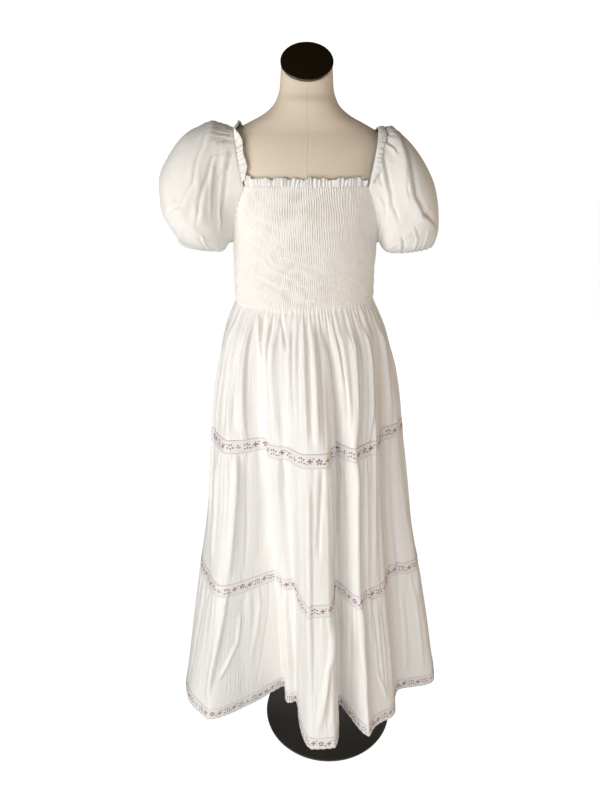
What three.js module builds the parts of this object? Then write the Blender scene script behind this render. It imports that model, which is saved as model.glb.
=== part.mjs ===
// A tiered peasant dress of thin cotton, worn by a limbless dress form on a round base plate.
// Millimetres, +Z up. The origin is on the floor, plumb below the middle of the waist seam.
// The front of the dress faces -Y, and its left side as seen from the front is towards -X.
// An azimuth is an angle round the body in degrees: 0 at the front, 90 towards +X, 180 at the back.
import * as THREE from 'three';

// Driving sizes
const clothWall = 1.6;
const trimWall = 1.2;
const seamGap = 0.3;
const clothFromForm = 3.2; // from the form to the outside of the bodice, between two ribs
const waistHeight = 1190;
const waistDip = 14; // how much lower the waist seam hangs at the front
const upperBandHeight = 890; // in the lower half of the upper embroidered band
const lowerBandHeight = 530; // in the lower half of the lower embroidered band
const hemHeight = 170;
const bandWidth = 32;
const bandBelow = 10; // how far both bands reach below the heights given for them
const neckHeight = 1417; // top of the smocking at the front, where the neck ruffle starts
const backNeckHeight = 1408;
const underarmHeight = 1303;
const neckCornerAzimuth = 56.5; // where the neckline turns up over the shoulder
const ruffleHeight = 17;
const ribHeight = 1.5; // how far the smocking's ribs stand out
const shoulderReach = 138; // from the middle of the form to the sleeve's neck edge on the shoulder
const shoulderHeight = 1517;
const cuffWidth = 12;
const leanAngle = 1.6; // the upper body leans towards +X
const leanRise = 120; // height above the waist over which the lean comes in
const poleRadius = 15;
const poleLean = 0.039; // sideways travel of the pole for each millimetre of height
const plateRadius = 172;
const plateThickness = 5;
const neckSlant = 42; // slope of the neck's cut face, low at the front
const neckSlantFrom = 1555; // height from which the neck's sections tip forward
const armholeCurve = 1.8; // power of the curve from the neckline's corner down to the underarm
const gatherHeights = { waist: 4.2, band: 3.6 };
const gatherLengths = { waist: 250, band: 220 }; // how far below its seam each set dies away

// Facets
const skirtColumns = 45; // in each half, front or back
const bodiceColumns = 54; // in each half
const ribsPerHalf = bodiceColumns / 2;
const gatherColumns = 3; // columns of cloth in one gather
const sleeveColumns = 28;
const neckWaves = 20;
const shoulderWaves = 12;
const columnsPerWave = 3;
const formColumns = 24;

// Sections of the dress form, from its underside to the top of the neck
const formSections = [
  { z: 776, halfWidth: 62, front: 46, back: 46 },
  { z: 786, halfWidth: 110, front: 81, back: 79 },
  { z: 808, halfWidth: 139, front: 100, back: 99 },
  { z: 850, halfWidth: 157, front: 111, back: 113 },
  { z: 930, halfWidth: 164, front: 117, back: 121 },
  { z: 1020, halfWidth: 156, front: 110, back: 114 },
  { z: 1110, halfWidth: 138, front: 93, back: 88 },
  { z: 1190, halfWidth: 140, front: 94, back: 82 },
  { z: 1250, halfWidth: 140, front: 100, back: 84 },
  { z: 1305, halfWidth: 141, front: 109, back: 88 },
  { z: 1350, halfWidth: 146, front: 110, back: 92 },
  { z: 1400, halfWidth: 158, front: 102, back: 94 },
  { z: 1445, halfWidth: 167, front: 91, back: 89 },
  { z: 1478, halfWidth: 170, front: 79, back: 80 },
  { z: 1500, halfWidth: 157, front: 68, back: 70 },
  { z: 1514, halfWidth: 136, front: 60, back: 62 },
  { z: 1527, halfWidth: 111, front: 55, back: 57 },
  { z: 1543, halfWidth: 80, front: 51, back: 53 },
  { z: 1562, halfWidth: 60, front: 48, back: 50 },
  { z: 1588, halfWidth: 51, front: 43, back: 45 },
  { z: 1630, halfWidth: 48, front: 38, back: 38 },
];

// Sections of the skirt's outer reach: its valleys are cut back from these
const skirtSections = [
  { z: 170, halfWidth: 332, front: 270, back: 250 },
  { z: 350, halfWidth: 303, front: 246, back: 228 },
  { z: 530, halfWidth: 270, front: 221, back: 205 },
  { z: 700, halfWidth: 239, front: 209, back: 188 },
  { z: 890, halfWidth: 213, front: 197, back: 172 },
  { z: 970, halfWidth: 204, front: 181, back: 160 },
  { z: 1050, halfWidth: 190, front: 159, back: 141 },
  { z: 1120, halfWidth: 174, front: 133, back: 117 },
  { z: 1160, halfWidth: 158, front: 111, back: 96 },
  { z: 1190, halfWidth: 143.5, front: 97.5, back: 85.5 },
];

// The skirt's largest folds. Left and right are how far each reaches round the body from its
// azimuth, in degrees. Then how far it stands out, or falls in where negative, at both bands
// and at the hem, and how far it bends sideways, as a share of that.
const skirtFolds = [
  { azimuth: -70, left: 20, right: 14, upper: 0, lower: -7, hem: 9, bend: 0 },
  { azimuth: -42, left: 14, right: 22, upper: -56, lower: -122, hem: -192, bend: 0 },
  { azimuth: -18, left: 24, right: 18, upper: -38, lower: -96, hem: -140, bend: 0 },
  { azimuth: 19.5, left: 9, right: 11, upper: -46, lower: -80, hem: -120, bend: 0.15 },
  { azimuth: 38, left: 14, right: 14, upper: -14, lower: -25, hem: -35, bend: 0 },
  { azimuth: 65, left: 30, right: 13, upper: -32, lower: -54, hem: -80, bend: 0 },
  { azimuth: 104, left: 13, right: 17, upper: -22, lower: -46, hem: -72, bend: -0.1 },
  { azimuth: 139, left: 17, right: 22, upper: -30, lower: -78, hem: -128, bend: 0.1 },
  { azimuth: 177, left: 13, right: 15, upper: -20, lower: -46, hem: -74, bend: 0.14 },
  { azimuth: 212, left: 20, right: 16, upper: -32, lower: -84, hem: -138, bend: -0.1 },
  { azimuth: 247, left: 15, right: 14, upper: -24, lower: -52, hem: -86, bend: -0.12 },
];

// Sections of the two puff sleeves, from the shoulder to the cuff. Each is an upright ring
// between a point on the sleeve's outer side and one on its inner side, and half as deep as stated.
const sleeveSections = {
  left: [
    { outX: -170, outZ: 1533, inX: -152, inZ: 1304, halfDepth: 84 },
    { outX: -217, outZ: 1514, inX: -155, inZ: 1301, halfDepth: 97 },
    { outX: -255, outZ: 1476, inX: -158, inZ: 1298, halfDepth: 104 },
    { outX: -278, outZ: 1433, inX: -161, inZ: 1295, halfDepth: 105 },
    { outX: -281, outZ: 1388, inX: -164, inZ: 1293, halfDepth: 99 },
    { outX: -268, outZ: 1350, inX: -168, inZ: 1291.5, halfDepth: 87 },
    { outX: -256, outZ: 1325, inX: -172.5, inZ: 1291, halfDepth: 69 },
    { outX: -251, outZ: 1308, inX: -177, inZ: 1293.5, halfDepth: 51 },
    { outX: -240, outZ: 1315, inX: -181, inZ: 1308, halfDepth: 35 },
  ],
  right: [
    { outX: 172, outZ: 1517, inX: 155, inZ: 1300, halfDepth: 84 },
    { outX: 206, outZ: 1489, inX: 157, inZ: 1296, halfDepth: 97 },
    { outX: 236, outZ: 1452, inX: 160, inZ: 1292, halfDepth: 103 },
    { outX: 258, outZ: 1410, inX: 163, inZ: 1289, halfDepth: 103 },
    { outX: 268, outZ: 1367, inX: 166, inZ: 1287, halfDepth: 97 },
    { outX: 272, outZ: 1328, inX: 169, inZ: 1284, halfDepth: 86 },
    { outX: 268, outZ: 1304, inX: 175, inZ: 1281.5, halfDepth: 69 },
    { outX: 261, outZ: 1292, inX: 181, inZ: 1283, halfDepth: 51 },
    { outX: 252, outZ: 1309, inX: 190, inZ: 1297, halfDepth: 34 },
  ],
};

// The ruffles over the shoulders: how high each stands, and its lean towards the neck
const shoulderRuffles = {
  left: { height: 14, towardNeck: 0.55 },
  right: { height: 10, towardNeck: -0.15 },
};

const cream = { color: 0xf3eee4, roughness: 0.85, metalness: 0 };
const smocked = { color: 0xe9dfcf, roughness: 0.9, metalness: 0 };
const embroidered = { color: 0xd9cdc6, roughness: 0.9, metalness: 0 };
const jersey = { color: 0xd9c3a2, roughness: 0.8, metalness: 0 };
const glossBlack = { color: 0x1a1410, roughness: 0.25, metalness: 0 };
const satinBlack = { color: 0x2d2925, roughness: 0.45, metalness: 0.6 };

const dress = new THREE.Group();

/** Adds one named piece to the dress. */
function addPiece(name, geometry, finish) {
  const mesh = new THREE.Mesh(geometry, new THREE.MeshStandardMaterial(finish));
  mesh.name = name;
  dress.add(mesh);
  return mesh;
}

const radians = THREE.MathUtils.degToRad;
const mix = THREE.MathUtils.lerp;
const ease = (t) => THREE.MathUtils.smoothstep(t, 0, 1);

/** A table's column at height z, on a smooth curve through the rows that never overshoots them. */
function valueAt(table, column, z) {
  const last = table.length - 1;
  if (z <= table[0].z) return table[0][column];
  if (z >= table[last].z) return table[last][column];
  let row = 0;
  while (z > table[row + 1].z) row += 1;
  const slope = (i) => (table[i + 1][column] - table[i][column]) / (table[i + 1].z - table[i].z);
  const tangent = (i) => {
    if (i === 0) return slope(0);
    if (i === last) return slope(last - 1);
    const before = slope(i - 1);
    const after = slope(i);
    return before * after > 0 ? (2 * before * after) / (before + after) : 0;
  };
  const step = table[row + 1].z - table[row].z;
  const t = (z - table[row].z) / step;
  const start = table[row][column] * (1 + 2 * t) + tangent(row) * step * t;
  const end = table[row + 1][column] * (3 - 2 * t) - tangent(row + 1) * step * (1 - t);
  return start * (1 - t) ** 2 + end * t ** 2;
}

/** The radius of a section at an azimuth: a rounded ring, a little squarer than an ellipse. */
function ringRadius(table, z, azimuth, grow = 0) {
  const squareness = 2.2;
  const angle = radians(azimuth);
  const side = valueAt(table, 'halfWidth', z) + grow;
  const depth = valueAt(table, Math.cos(angle) > 0 ? 'front' : 'back', z) + grow;
  const across = (Math.abs(Math.sin(angle)) / side) ** squareness;
  const along = (Math.abs(Math.cos(angle)) / depth) ** squareness;
  return (across + along) ** (-1 / squareness);
}

/** A point at an azimuth, a radius and a height, moved sideways round the body by a shift. */
function polarPoint(azimuth, radius, z, shift = 0) {
  const angle = radians(azimuth);
  const x = radius * Math.sin(angle) + shift * Math.cos(angle);
  const y = -radius * Math.cos(angle) + shift * Math.sin(angle);
  return new THREE.Vector3(x, y, z);
}

/** Leans the upper body: a point turns about the waist, by the full angle from the bust up. */
function lean(point) {
  const angle = radians(leanAngle) * ease((point.z - waistHeight) / leanRise);
  const rise = point.z - waistHeight;
  const x = point.x * Math.cos(angle) + rise * Math.sin(angle);
  const z = waistHeight - point.x * Math.sin(angle) + rise * Math.cos(angle);
  return new THREE.Vector3(x, point.y, z);
}

/** A closed body from points and triangles, turned to face out if its volume comes out negative. */
function closedBody(points, triangles) {
  let volume = 0;
  for (const [a, b, c] of triangles) {
    volume += points[a].dot(new THREE.Vector3().crossVectors(points[b], points[c])) / 6;
  }
  const facing = volume > 0 ? triangles : triangles.map(([a, b, c]) => [a, c, b]);
  const geometry = new THREE.BufferGeometry().setFromPoints(points);
  geometry.setIndex(facing.flat());
  geometry.computeVertexNormals();
  return geometry;
}

/**
 * A wall of cloth between two grids of points with like rows and columns: its outer side, its
 * inner side and the strips round its edges. A round wall's last column joins its first.
 */
function wallBody(outer, inner, round) {
  const rows = outer.length;
  const columns = outer[0].length;
  const points = [...outer.flat(), ...inner.flat()];
  const triangles = [];
  const at = (side, row, column) => (side * rows + row) * columns + (column % columns);
  const addQuad = (a, b, c, d, cutAC = true) => {
    if (cutAC) triangles.push([a, b, c], [a, c, d]);
    else triangles.push([a, b, d], [b, c, d]);
  };
  const lastColumn = round ? columns : columns - 1;
  for (let row = 0; row < rows - 1; row += 1) {
    for (let column = 0; column < lastColumn; column += 1) {
      const corners = [[row, column], [row + 1, column], [row + 1, column + 1], [row, column + 1]];
      const [a, b, c, d] = corners.map(([i, j]) => at(0, i, j));
      const acrossAC = points[a].distanceToSquared(points[c]);
      const acrossBD = points[b].distanceToSquared(points[d]);
      addQuad(a, b, c, d, acrossAC <= acrossBD);
      const [e, f, g, h] = corners.map(([i, j]) => at(1, i, j));
      addQuad(e, h, g, f, acrossAC <= acrossBD);
    }
  }
  for (let column = 0; column < lastColumn; column += 1) {
    addQuad(at(0, 0, column), at(0, 0, column + 1), at(1, 0, column + 1), at(1, 0, column));
    const row = rows - 1;
    addQuad(at(0, row, column + 1), at(0, row, column), at(1, row, column), at(1, row, column + 1));
  }
  for (let row = 0; row < rows - 1 && !round; row += 1) {
    addQuad(at(0, row + 1, 0), at(0, row, 0), at(1, row, 0), at(1, row + 1, 0));
    const column = columns - 1;
    addQuad(at(0, row, column), at(0, row + 1, column), at(1, row + 1, column), at(1, row, column));
  }
  return closedBody(points, triangles);
}

/** The outward normal of a surface, from its points one step before and after in u and in v. */
function surfaceNormal(surface, u, v, stepU, stepV) {
  const along = surface(u + stepU, v).sub(surface(u - stepU, v));
  const down = surface(u, v - stepV).sub(surface(u, v + stepV));
  return down.cross(along).normalize();
}

/**
 * A point of a surface moved along its normal: inwards where the distance is negative. It moves
 * further where the surface turns sharply in u, so that the wall there keeps its thickness.
 */
function offsetPoint(surface, u, v, stepU, stepV, distance) {
  const point = surface(u, v);
  const before = point.clone().sub(surface(u - stepU, v)).normalize();
  const after = surface(u + stepU, v).sub(point).normalize();
  const mitre = Math.min(1.6, 2 / before.add(after).length());
  return point.addScaledVector(surfaceNormal(surface, u, v, stepU, stepV), distance * mitre);
}

/** A solid through rings of like columns, its two end rings closed by fans to their middles. */
function loftBody(rings) {
  const columns = rings[0].length;
  const points = rings.flat();
  const triangles = [];
  for (let ring = 0; ring < rings.length - 1; ring += 1) {
    for (let column = 0; column < columns; column += 1) {
      const a = ring * columns + column;
      const b = ring * columns + ((column + 1) % columns);
      triangles.push([a, b, b + columns], [a, b + columns, a + columns]);
    }
  }
  for (const [ring, turn] of [[0, 1], [rings.length - 1, -1]]) {
    const middle = points.length;
    const sum = rings[ring].reduce((total, point) => total.add(point), new THREE.Vector3());
    points.push(sum.divideScalar(columns));
    for (let column = 0; column < columns; column += 1) {
      const a = ring * columns + column;
      const b = ring * columns + ((column + 1) % columns);
      triangles.push(turn > 0 ? [middle, b, a] : [middle, a, b]);
    }
  }
  return closedBody(points, triangles);
}

// The stand: a round base plate, a leaning pole and the torso it carries

/** The middle of the form and the pole at a height: below the waist they lean towards the plate. */
function standX(z) {
  return poleLean * Math.max(0, waistHeight - 20 - z);
}

/** A point of the form's surface, moved out by a distance. */
function formPoint(azimuth, z, out) {
  const point = polarPoint(azimuth, ringRadius(formSections, z, azimuth, out), z);
  point.x += standX(z);
  const neckRise = formSections.at(-1).z - neckSlantFrom;
  const cut = ease((z - neckSlantFrom) / neckRise) * Math.tan(radians(neckSlant));
  point.z += cut * point.y;
  return lean(point);
}

function addStand() {
  const foot = new THREE.Vector3(standX(0), 0, plateThickness / 2);
  const plate = new THREE.CylinderGeometry(plateRadius, plateRadius, plateThickness, 40);
  plate.rotateX(Math.PI / 2);
  addPiece('base_plate', plate, satinBlack).position.copy(foot);

  const bottom = plateThickness + seamGap;
  const top = formSections[0].z - seamGap;
  const poleSides = 16;
  const poleRings = [bottom, top].map((z) => {
    const ring = [];
    for (let side = 0; side < poleSides; side += 1) {
      const point = polarPoint((side * 360) / poleSides, poleRadius, z);
      point.x += standX(z);
      ring.push(point);
    }
    return ring;
  });
  addPiece('pole', loftBody(poleRings), satinBlack);

  const torsoRings = formSections.map(({ z }) => {
    const ring = [];
    for (let column = 0; column < formColumns; column += 1) {
      ring.push(formPoint((column * 360) / formColumns, z, 0));
    }
    return ring;
  });
  addPiece('form_torso', loftBody(torsoRings), jersey);

  const capThickness = 5;
  const capRim = 1.5;
  const { z: neckTop, halfWidth, front } = formSections.at(-1);
  const cap = new THREE.CylinderGeometry(1, 1, capThickness, 32);
  cap.scale(halfWidth + capRim, 1, front / Math.cos(radians(neckSlant)) + capRim);
  cap.rotateX(Math.PI / 2 + radians(neckSlant));
  cap.rotateY(radians(leanAngle));
  const neckMiddle = lean(new THREE.Vector3(0, 0, neckTop));
  const outOfNeck = new THREE.Vector3(0, -Math.sin(radians(neckSlant)), Math.cos(radians(neckSlant)));
  outOfNeck.applyAxisAngle(new THREE.Vector3(0, 1, 0), radians(leanAngle));
  const capMiddle = neckMiddle.addScaledVector(outOfNeck, capThickness / 2 + seamGap);
  addPiece('neck_cap', cap, glossBlack).position.copy(capMiddle);
}

// The skirt: three gathered tiers joined by two embroidered bands, and a border along the hem

/** How far a fold stands out, or falls in, at height z: nothing at the waist, most at the hem. */
function foldDepth(fold, z) {
  const levels = [
    { z: hemHeight, depth: fold.hem },
    { z: lowerBandHeight, depth: fold.lower },
    { z: upperBandHeight, depth: fold.upper },
    { z: waistHeight - 10, depth: 0 },
  ];
  return valueAt(levels, 'depth', z);
}

/** A point of the skirt without its gathers: the section's ring with the folds added to it. */
function foldedPoint(azimuth, z, out) {
  let radius = ringRadius(skirtSections, z, azimuth) + out;
  let shift = 0;
  for (const fold of skirtFolds) {
    const from = THREE.MathUtils.euclideanModulo(azimuth - fold.azimuth + 180, 360) - 180;
    const t = from / (from < 0 ? fold.left : fold.right);
    if (Math.abs(t) < 1) {
      const depth = (foldDepth(fold, z) * (1 + Math.cos(Math.PI * t))) / 2;
      radius += depth;
      shift += fold.bend * Math.abs(depth);
    }
  }
  return polarPoint(azimuth, radius, z, shift);
}

/** The azimuths of a half's columns at a height, at equal steps of cloth along its folded ring. */
function clothAzimuths(fromAzimuth, z) {
  const samples = 720;
  const lengths = [0];
  let before = foldedPoint(fromAzimuth, z, 0);
  for (let i = 1; i <= samples; i += 1) {
    const point = foldedPoint(fromAzimuth + (180 * i) / samples, z, 0);
    lengths.push(lengths[i - 1] + point.distanceTo(before));
    before = point;
  }
  const azimuths = [];
  for (let column = 0, i = 0; column <= skirtColumns; column += 1) {
    const length = (lengths[samples] * column) / skirtColumns;
    while (i < samples - 1 && lengths[i + 1] < length) i += 1;
    const part = (length - lengths[i]) / (lengths[i + 1] - lengths[i]);
    azimuths.push(fromAzimuth + (180 * (i + part)) / samples);
  }
  return azimuths;
}

const azimuthHeights = [hemHeight, lowerBandHeight, upperBandHeight, waistHeight];
const halfAzimuths = {
  front: azimuthHeights.map((z) => clothAzimuths(-90, z)),
  back: azimuthHeights.map((z) => clothAzimuths(90, z)),
};

/** The azimuth of a column of cloth, whole or not, at height z. */
function columnAzimuth(half, column, z) {
  const above = THREE.MathUtils.clamp(azimuthHeights.findIndex((height) => height > z), 1, 3);
  const heightShare = THREE.MathUtils.inverseLerp(azimuthHeights[above - 1], azimuthHeights[above], z);
  const index = THREE.MathUtils.clamp(Math.floor(column), 0, skirtColumns - 1);
  const [lower, upper] = [above - 1, above].map((level) => {
    const azimuths = halfAzimuths[half][level];
    return mix(azimuths[index], azimuths[index + 1], column - index);
  });
  return mix(lower, upper, heightShare);
}

/** How far the gathers under a seam stand out: they swell just below it and die away downwards. */
function gatherDepth(column, z, seam, kind) {
  const below = (seam - z) / gatherLengths[kind];
  if (below <= 0 || below >= 1) return 0;
  const fullest = 0.12; // share of the way down at which a gather is fullest
  const swell = below < fullest ? below / fullest : ((1 - below) / (1 - fullest)) ** 1.3;
  const uneven = 1 + 0.35 * Math.sin(column * 0.9) + 0.25 * Math.sin(column * 2.3);
  return gatherHeights[kind] * uneven * swell * Math.cos((2 * Math.PI * column) / gatherColumns);
}

/** The skirt's surface: the folds, with the gathers of each tier, and its dip at the front waist. */
function skirtSurface(half) {
  return (column, z) => {
    const azimuth = columnAzimuth(half, column, z);
    const gathers = gatherDepth(column, z, waistHeight - 2, 'waist')
      + gatherDepth(column, z, upperBandHeight - bandBelow, 'band')
      + gatherDepth(column, z, lowerBandHeight - bandBelow, 'band');
    const point = foldedPoint(azimuth, z, gathers);
    const facingFront = (1 + Math.cos(radians(azimuth))) / 2;
    point.z -= waistDip * facingFront ** 2 * ease((z - upperBandHeight) / 250);
    return point;
  };
}

/** One half of a tier or band, through rings at shares of the way from its top to its bottom. */
function addSkirtPiece(name, half, top, bottom, shares, finish) {
  const surface = skirtSurface(half);
  const outer = [];
  const inner = [];
  for (const share of shares) {
    const z = mix(top - seamGap / 2, bottom + seamGap / 2, share);
    const outerRow = [];
    const innerRow = [];
    const firstWidth = columnAzimuth(half, 1, z) - columnAzimuth(half, 0, z);
    const lastWidth = columnAzimuth(half, skirtColumns, z) - columnAzimuth(half, skirtColumns - 1, z);
    const sideGap = seamGap / 2 / ringRadius(skirtSections, z, 90) / radians(1);
    for (let column = 0; column <= skirtColumns; column += 1) {
      const u = THREE.MathUtils.clamp(column, sideGap / firstWidth, skirtColumns - sideGap / lastWidth);
      const outside = surface(u, z);
      const inside = offsetPoint(surface, u, z, 1, 5, -clothWall);
      if (column % skirtColumns === 0) inside.y = outside.y; // the side seams are flat
      outerRow.push(outside);
      innerRow.push(inside);
    }
    outer.push(outerRow);
    inner.push(innerRow);
  }
  addPiece(`${name}_${half}`, wallBody(outer, inner, false), finish);
}

function addSkirt() {
  const shortTier = [0, 0.13, 0.38, 0.7, 1];
  const longTier = [0, 0.11, 0.5, 1];
  for (const half of ['front', 'back']) {
    const upperBottom = upperBandHeight - bandBelow;
    const upperTop = upperBottom + bandWidth;
    const lowerBottom = lowerBandHeight - bandBelow;
    const lowerTop = lowerBottom + bandWidth;
    const borderTop = hemHeight + bandWidth;
    addSkirtPiece('tier_1', half, waistHeight, upperTop, shortTier, cream);
    addSkirtPiece('band_1', half, upperTop, upperBottom, [0, 1], embroidered);
    addSkirtPiece('tier_2', half, upperBottom, lowerTop, longTier, cream);
    addSkirtPiece('band_2', half, lowerTop, lowerBottom, [0, 1], embroidered);
    addSkirtPiece('tier_3', half, lowerBottom, borderTop, longTier, cream);
    addSkirtPiece('hem_border', half, borderTop, hemHeight, [0, 1], embroidered);
  }
}

// The bodice: two smocked halves with a ruffle along each neckline

/** The height of the bodice's top edge: level at the neckline, and down in a curve to the underarm. */
function bodiceTop(azimuth) {
  const fromSide = Math.abs(Math.abs(azimuth) - 90) / (90 - neckCornerAzimuth);
  const neck = Math.abs(azimuth) < 90 ? neckHeight : backNeckHeight;
  return fromSide >= 1 ? neck : mix(underarmHeight, neck, fromSide ** armholeCurve);
}

/** The bodice's surface without its ribs, at an azimuth and a share of the way up from the waist. */
function bodicePoint(azimuth, share) {
  const facingFront = (1 + Math.cos(radians(azimuth))) / 2;
  const bottom = waistHeight + seamGap - waistDip * facingFront ** 2;
  const turned = azimuth > 180 ? azimuth - 360 : azimuth;
  return formPoint(azimuth, mix(bottom, bodiceTop(turned), share), clothFromForm);
}

/** One smocked half: upright ribs are raised on its outer side, and its inner side is plain. */
function addBodiceHalf(half) {
  const shares = [0, 0.2, 0.4, 0.6, 0.8, 1];
  const fromAzimuth = half === 'front' ? -90 : 90;
  const sideGap = 0.06;
  const outer = [];
  const inner = [];
  for (const share of shares) {
    const outerRow = [];
    const innerRow = [];
    for (let column = 0; column <= bodiceColumns; column += 1) {
      const step = (180 * column) / bodiceColumns;
      const azimuth = fromAzimuth + THREE.MathUtils.clamp(step, sideGap, 180 - sideGap);
      const rib = (1 - Math.cos((2 * Math.PI * column * ribsPerHalf) / bodiceColumns)) / 2;
      outerRow.push(offsetPoint(bodicePoint, azimuth, share, 1.5, 0.03, ribHeight * rib));
      innerRow.push(offsetPoint(bodicePoint, azimuth, share, 1.5, 0.03, -clothWall));
    }
    outer.push(outerRow);
    inner.push(innerRow);
  }
  outer.reverse();
  inner.reverse();
  addPiece(`bodice_${half}`, wallBody(outer, inner, false), smocked);
}

/** The ruffled heading that stands above one half's neckline, in waves that open upwards. */
function addNeckRuffle(half) {
  const columns = neckWaves * columnsPerWave;
  const middle = half === 'front' ? 0 : 180;
  const base = (half === 'front' ? neckHeight : backNeckHeight) + seamGap;
  const reach = neckCornerAzimuth - 0.8;
  const outer = [];
  const inner = [];
  for (const up of [ruffleHeight, 0]) {
    const outerRow = [];
    const innerRow = [];
    for (let column = 0; column <= columns; column += 1) {
      const azimuth = middle + mix(-reach, reach, column / columns);
      const wave = 1.5 + 2.4 * Math.cos((2 * Math.PI * column) / columnsPerWave);
      const out = clothFromForm + 1 + (wave * up) / ruffleHeight;
      const point = formPoint(azimuth, base + up, out);
      outerRow.push(point);
      innerRow.push(point.clone().addScaledVector(polarPoint(azimuth, 1, 0), -trimWall));
    }
    outer.push(outerRow);
    inner.push(innerRow);
  }
  addPiece(`neck_ruffle_${half}`, wallBody(outer, inner, false), cream);
}

// The sleeves: a gathered puff with a ruffle over the shoulder and an elastic cuff

/**
 * The sleeve's top ring, at a turn round it in degrees: 0 at the front corner of the neckline,
 * 90 over the shoulder, 180 at the back corner and 270 under the arm. Its upper half bridges the
 * shoulder. Its lower half runs along the bodice's top edge, a seam's gap outside the ribs.
 */
function headPoint(sign, turn) {
  const lap = 1.2;
  const sin = Math.sin(radians(turn));
  const cos = Math.cos(radians(turn));
  const edge = (azimuth) => {
    const out = clothFromForm + ribHeight + seamGap + clothWall * Math.abs(cos);
    return formPoint(sign * azimuth, bodiceTop(azimuth) - lap, out);
  };
  if (sin < 0) return edge(mix(180 - neckCornerAzimuth, neckCornerAzimuth, (turn - 180) / 180));
  const roundness = 0.8;
  const along = (1 - Math.sign(cos) * Math.abs(cos) ** roundness) / 2;
  const point = edge(neckCornerAzimuth).lerp(edge(180 - neckCornerAzimuth), along);
  const shoulder = lean(new THREE.Vector3(sign * shoulderReach, 0, shoulderHeight));
  return point.lerp(shoulder.setY(point.y), sin ** roundness);
}

/** A point of a sleeve's surface, at a turn in degrees and a ring, whole or not: 0 is the head. */
function sleeveSurface(side) {
  const sign = side === 'left' ? -1 : 1;
  const table = sleeveSections[side].map((row, index) => ({ z: index + 1, ...row }));
  return (turn, ring) => {
    const round = THREE.MathUtils.euclideanModulo(turn, 360);
    const sin = Math.sin(radians(round));
    const cos = Math.cos(radians(round));
    const column = (name) => valueAt(table, name, ring);
    const outside = new THREE.Vector3(column('outX'), 0, column('outZ'));
    const inside = new THREE.Vector3(column('inX'), 0, column('inZ'));
    const fullness = 0.9;
    const point = inside.lerp(outside, (1 + Math.sign(sin) * Math.abs(sin) ** fullness) / 2);
    point.y = -Math.sign(cos) * Math.abs(cos) ** fullness * column('halfDepth');
    return ring >= 1 ? point : headPoint(sign, round).lerp(point, Math.max(0, ring));
  };
}

/** One puff: its gathers swell below the shoulder and die away by mid-sleeve. */
function addSleeve(side) {
  const smooth = sleeveSurface(side);
  const rings = sleeveSections[side].length;
  const gatherHeight = 2.2;
  const handed = side === 'left' ? 1 : -1;
  const outer = [];
  const inner = [];
  for (let ring = 0; ring <= rings; ring += 1) {
    const swell = Math.max(0, 1 - Math.abs(ring - 1.2) / 2.2) * Math.min(1, ring);
    const outerRow = [];
    const innerRow = [];
    for (let column = 0; column < sleeveColumns; column += 1) {
      const turn = ((column + 0.5) * 360) / sleeveColumns;
      const overShoulder = Math.max(0, Math.sin(radians(turn)));
      const out = gatherHeight * swell * overShoulder * (column % 2 ? 1 : -1);
      const along = THREE.MathUtils.clamp(ring, 0.25, rings - 0.25);
      const normal = surfaceNormal(smooth, turn, along, 3, 0.25).multiplyScalar(handed);
      outerRow.push(smooth(turn, ring).addScaledVector(normal, out));
      innerRow.push(smooth(turn, ring).addScaledVector(normal, out - clothWall));
    }
    outer.push(outerRow);
    inner.push(innerRow);
  }
  addPiece(`sleeve_${side}`, wallBody(outer, inner, true), cream);
}

/** The ruffle along the sleeve's neck edge: it stands on the shoulder and leans to one side. */
function addShoulderRuffle(side) {
  const { height, towardNeck } = shoulderRuffles[side];
  const sign = side === 'left' ? -1 : 1;
  const columns = shoulderWaves * columnsPerWave;
  const wave = 1.6;
  const cornerTurn = 8; // it stops this far short of the neckline's corners
  const outer = [];
  const inner = [];
  for (const up of [height, 0]) {
    const outerRow = [];
    const innerRow = [];
    for (let column = 0; column <= columns; column += 1) {
      const turn = mix(cornerTurn, 180 - cornerTurn, column / columns);
      const start = headPoint(sign, turn);
      const tangent = headPoint(sign, turn + 1).sub(headPoint(sign, turn - 1)).normalize();
      const neckward = new THREE.Vector3(-sign, 0, 0);
      const outward = new THREE.Vector3(0, start.y, start.z - underarmHeight).normalize();
      const rise = outward.clone().multiplyScalar(1 - Math.abs(towardNeck));
      rise.addScaledVector(neckward, towardNeck).normalize();
      const across = new THREE.Vector3().crossVectors(tangent, rise).normalize();
      if (across.x * sign < 0) across.negate();
      const sway = (wave * up * Math.cos((2 * Math.PI * column) / columnsPerWave)) / height;
      const middle = start.addScaledVector(neckward, seamGap + trimWall / 2);
      middle.addScaledVector(rise, up);
      middle.addScaledVector(across, sway);
      outerRow.push(middle.clone().addScaledVector(across, trimWall / 2));
      innerRow.push(middle.clone().addScaledVector(across, -trimWall / 2));
    }
    outer.push(outerRow);
    inner.push(innerRow);
  }
  addPiece(`shoulder_ruffle_${side}`, wallBody(outer, inner, false), cream);
}

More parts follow.
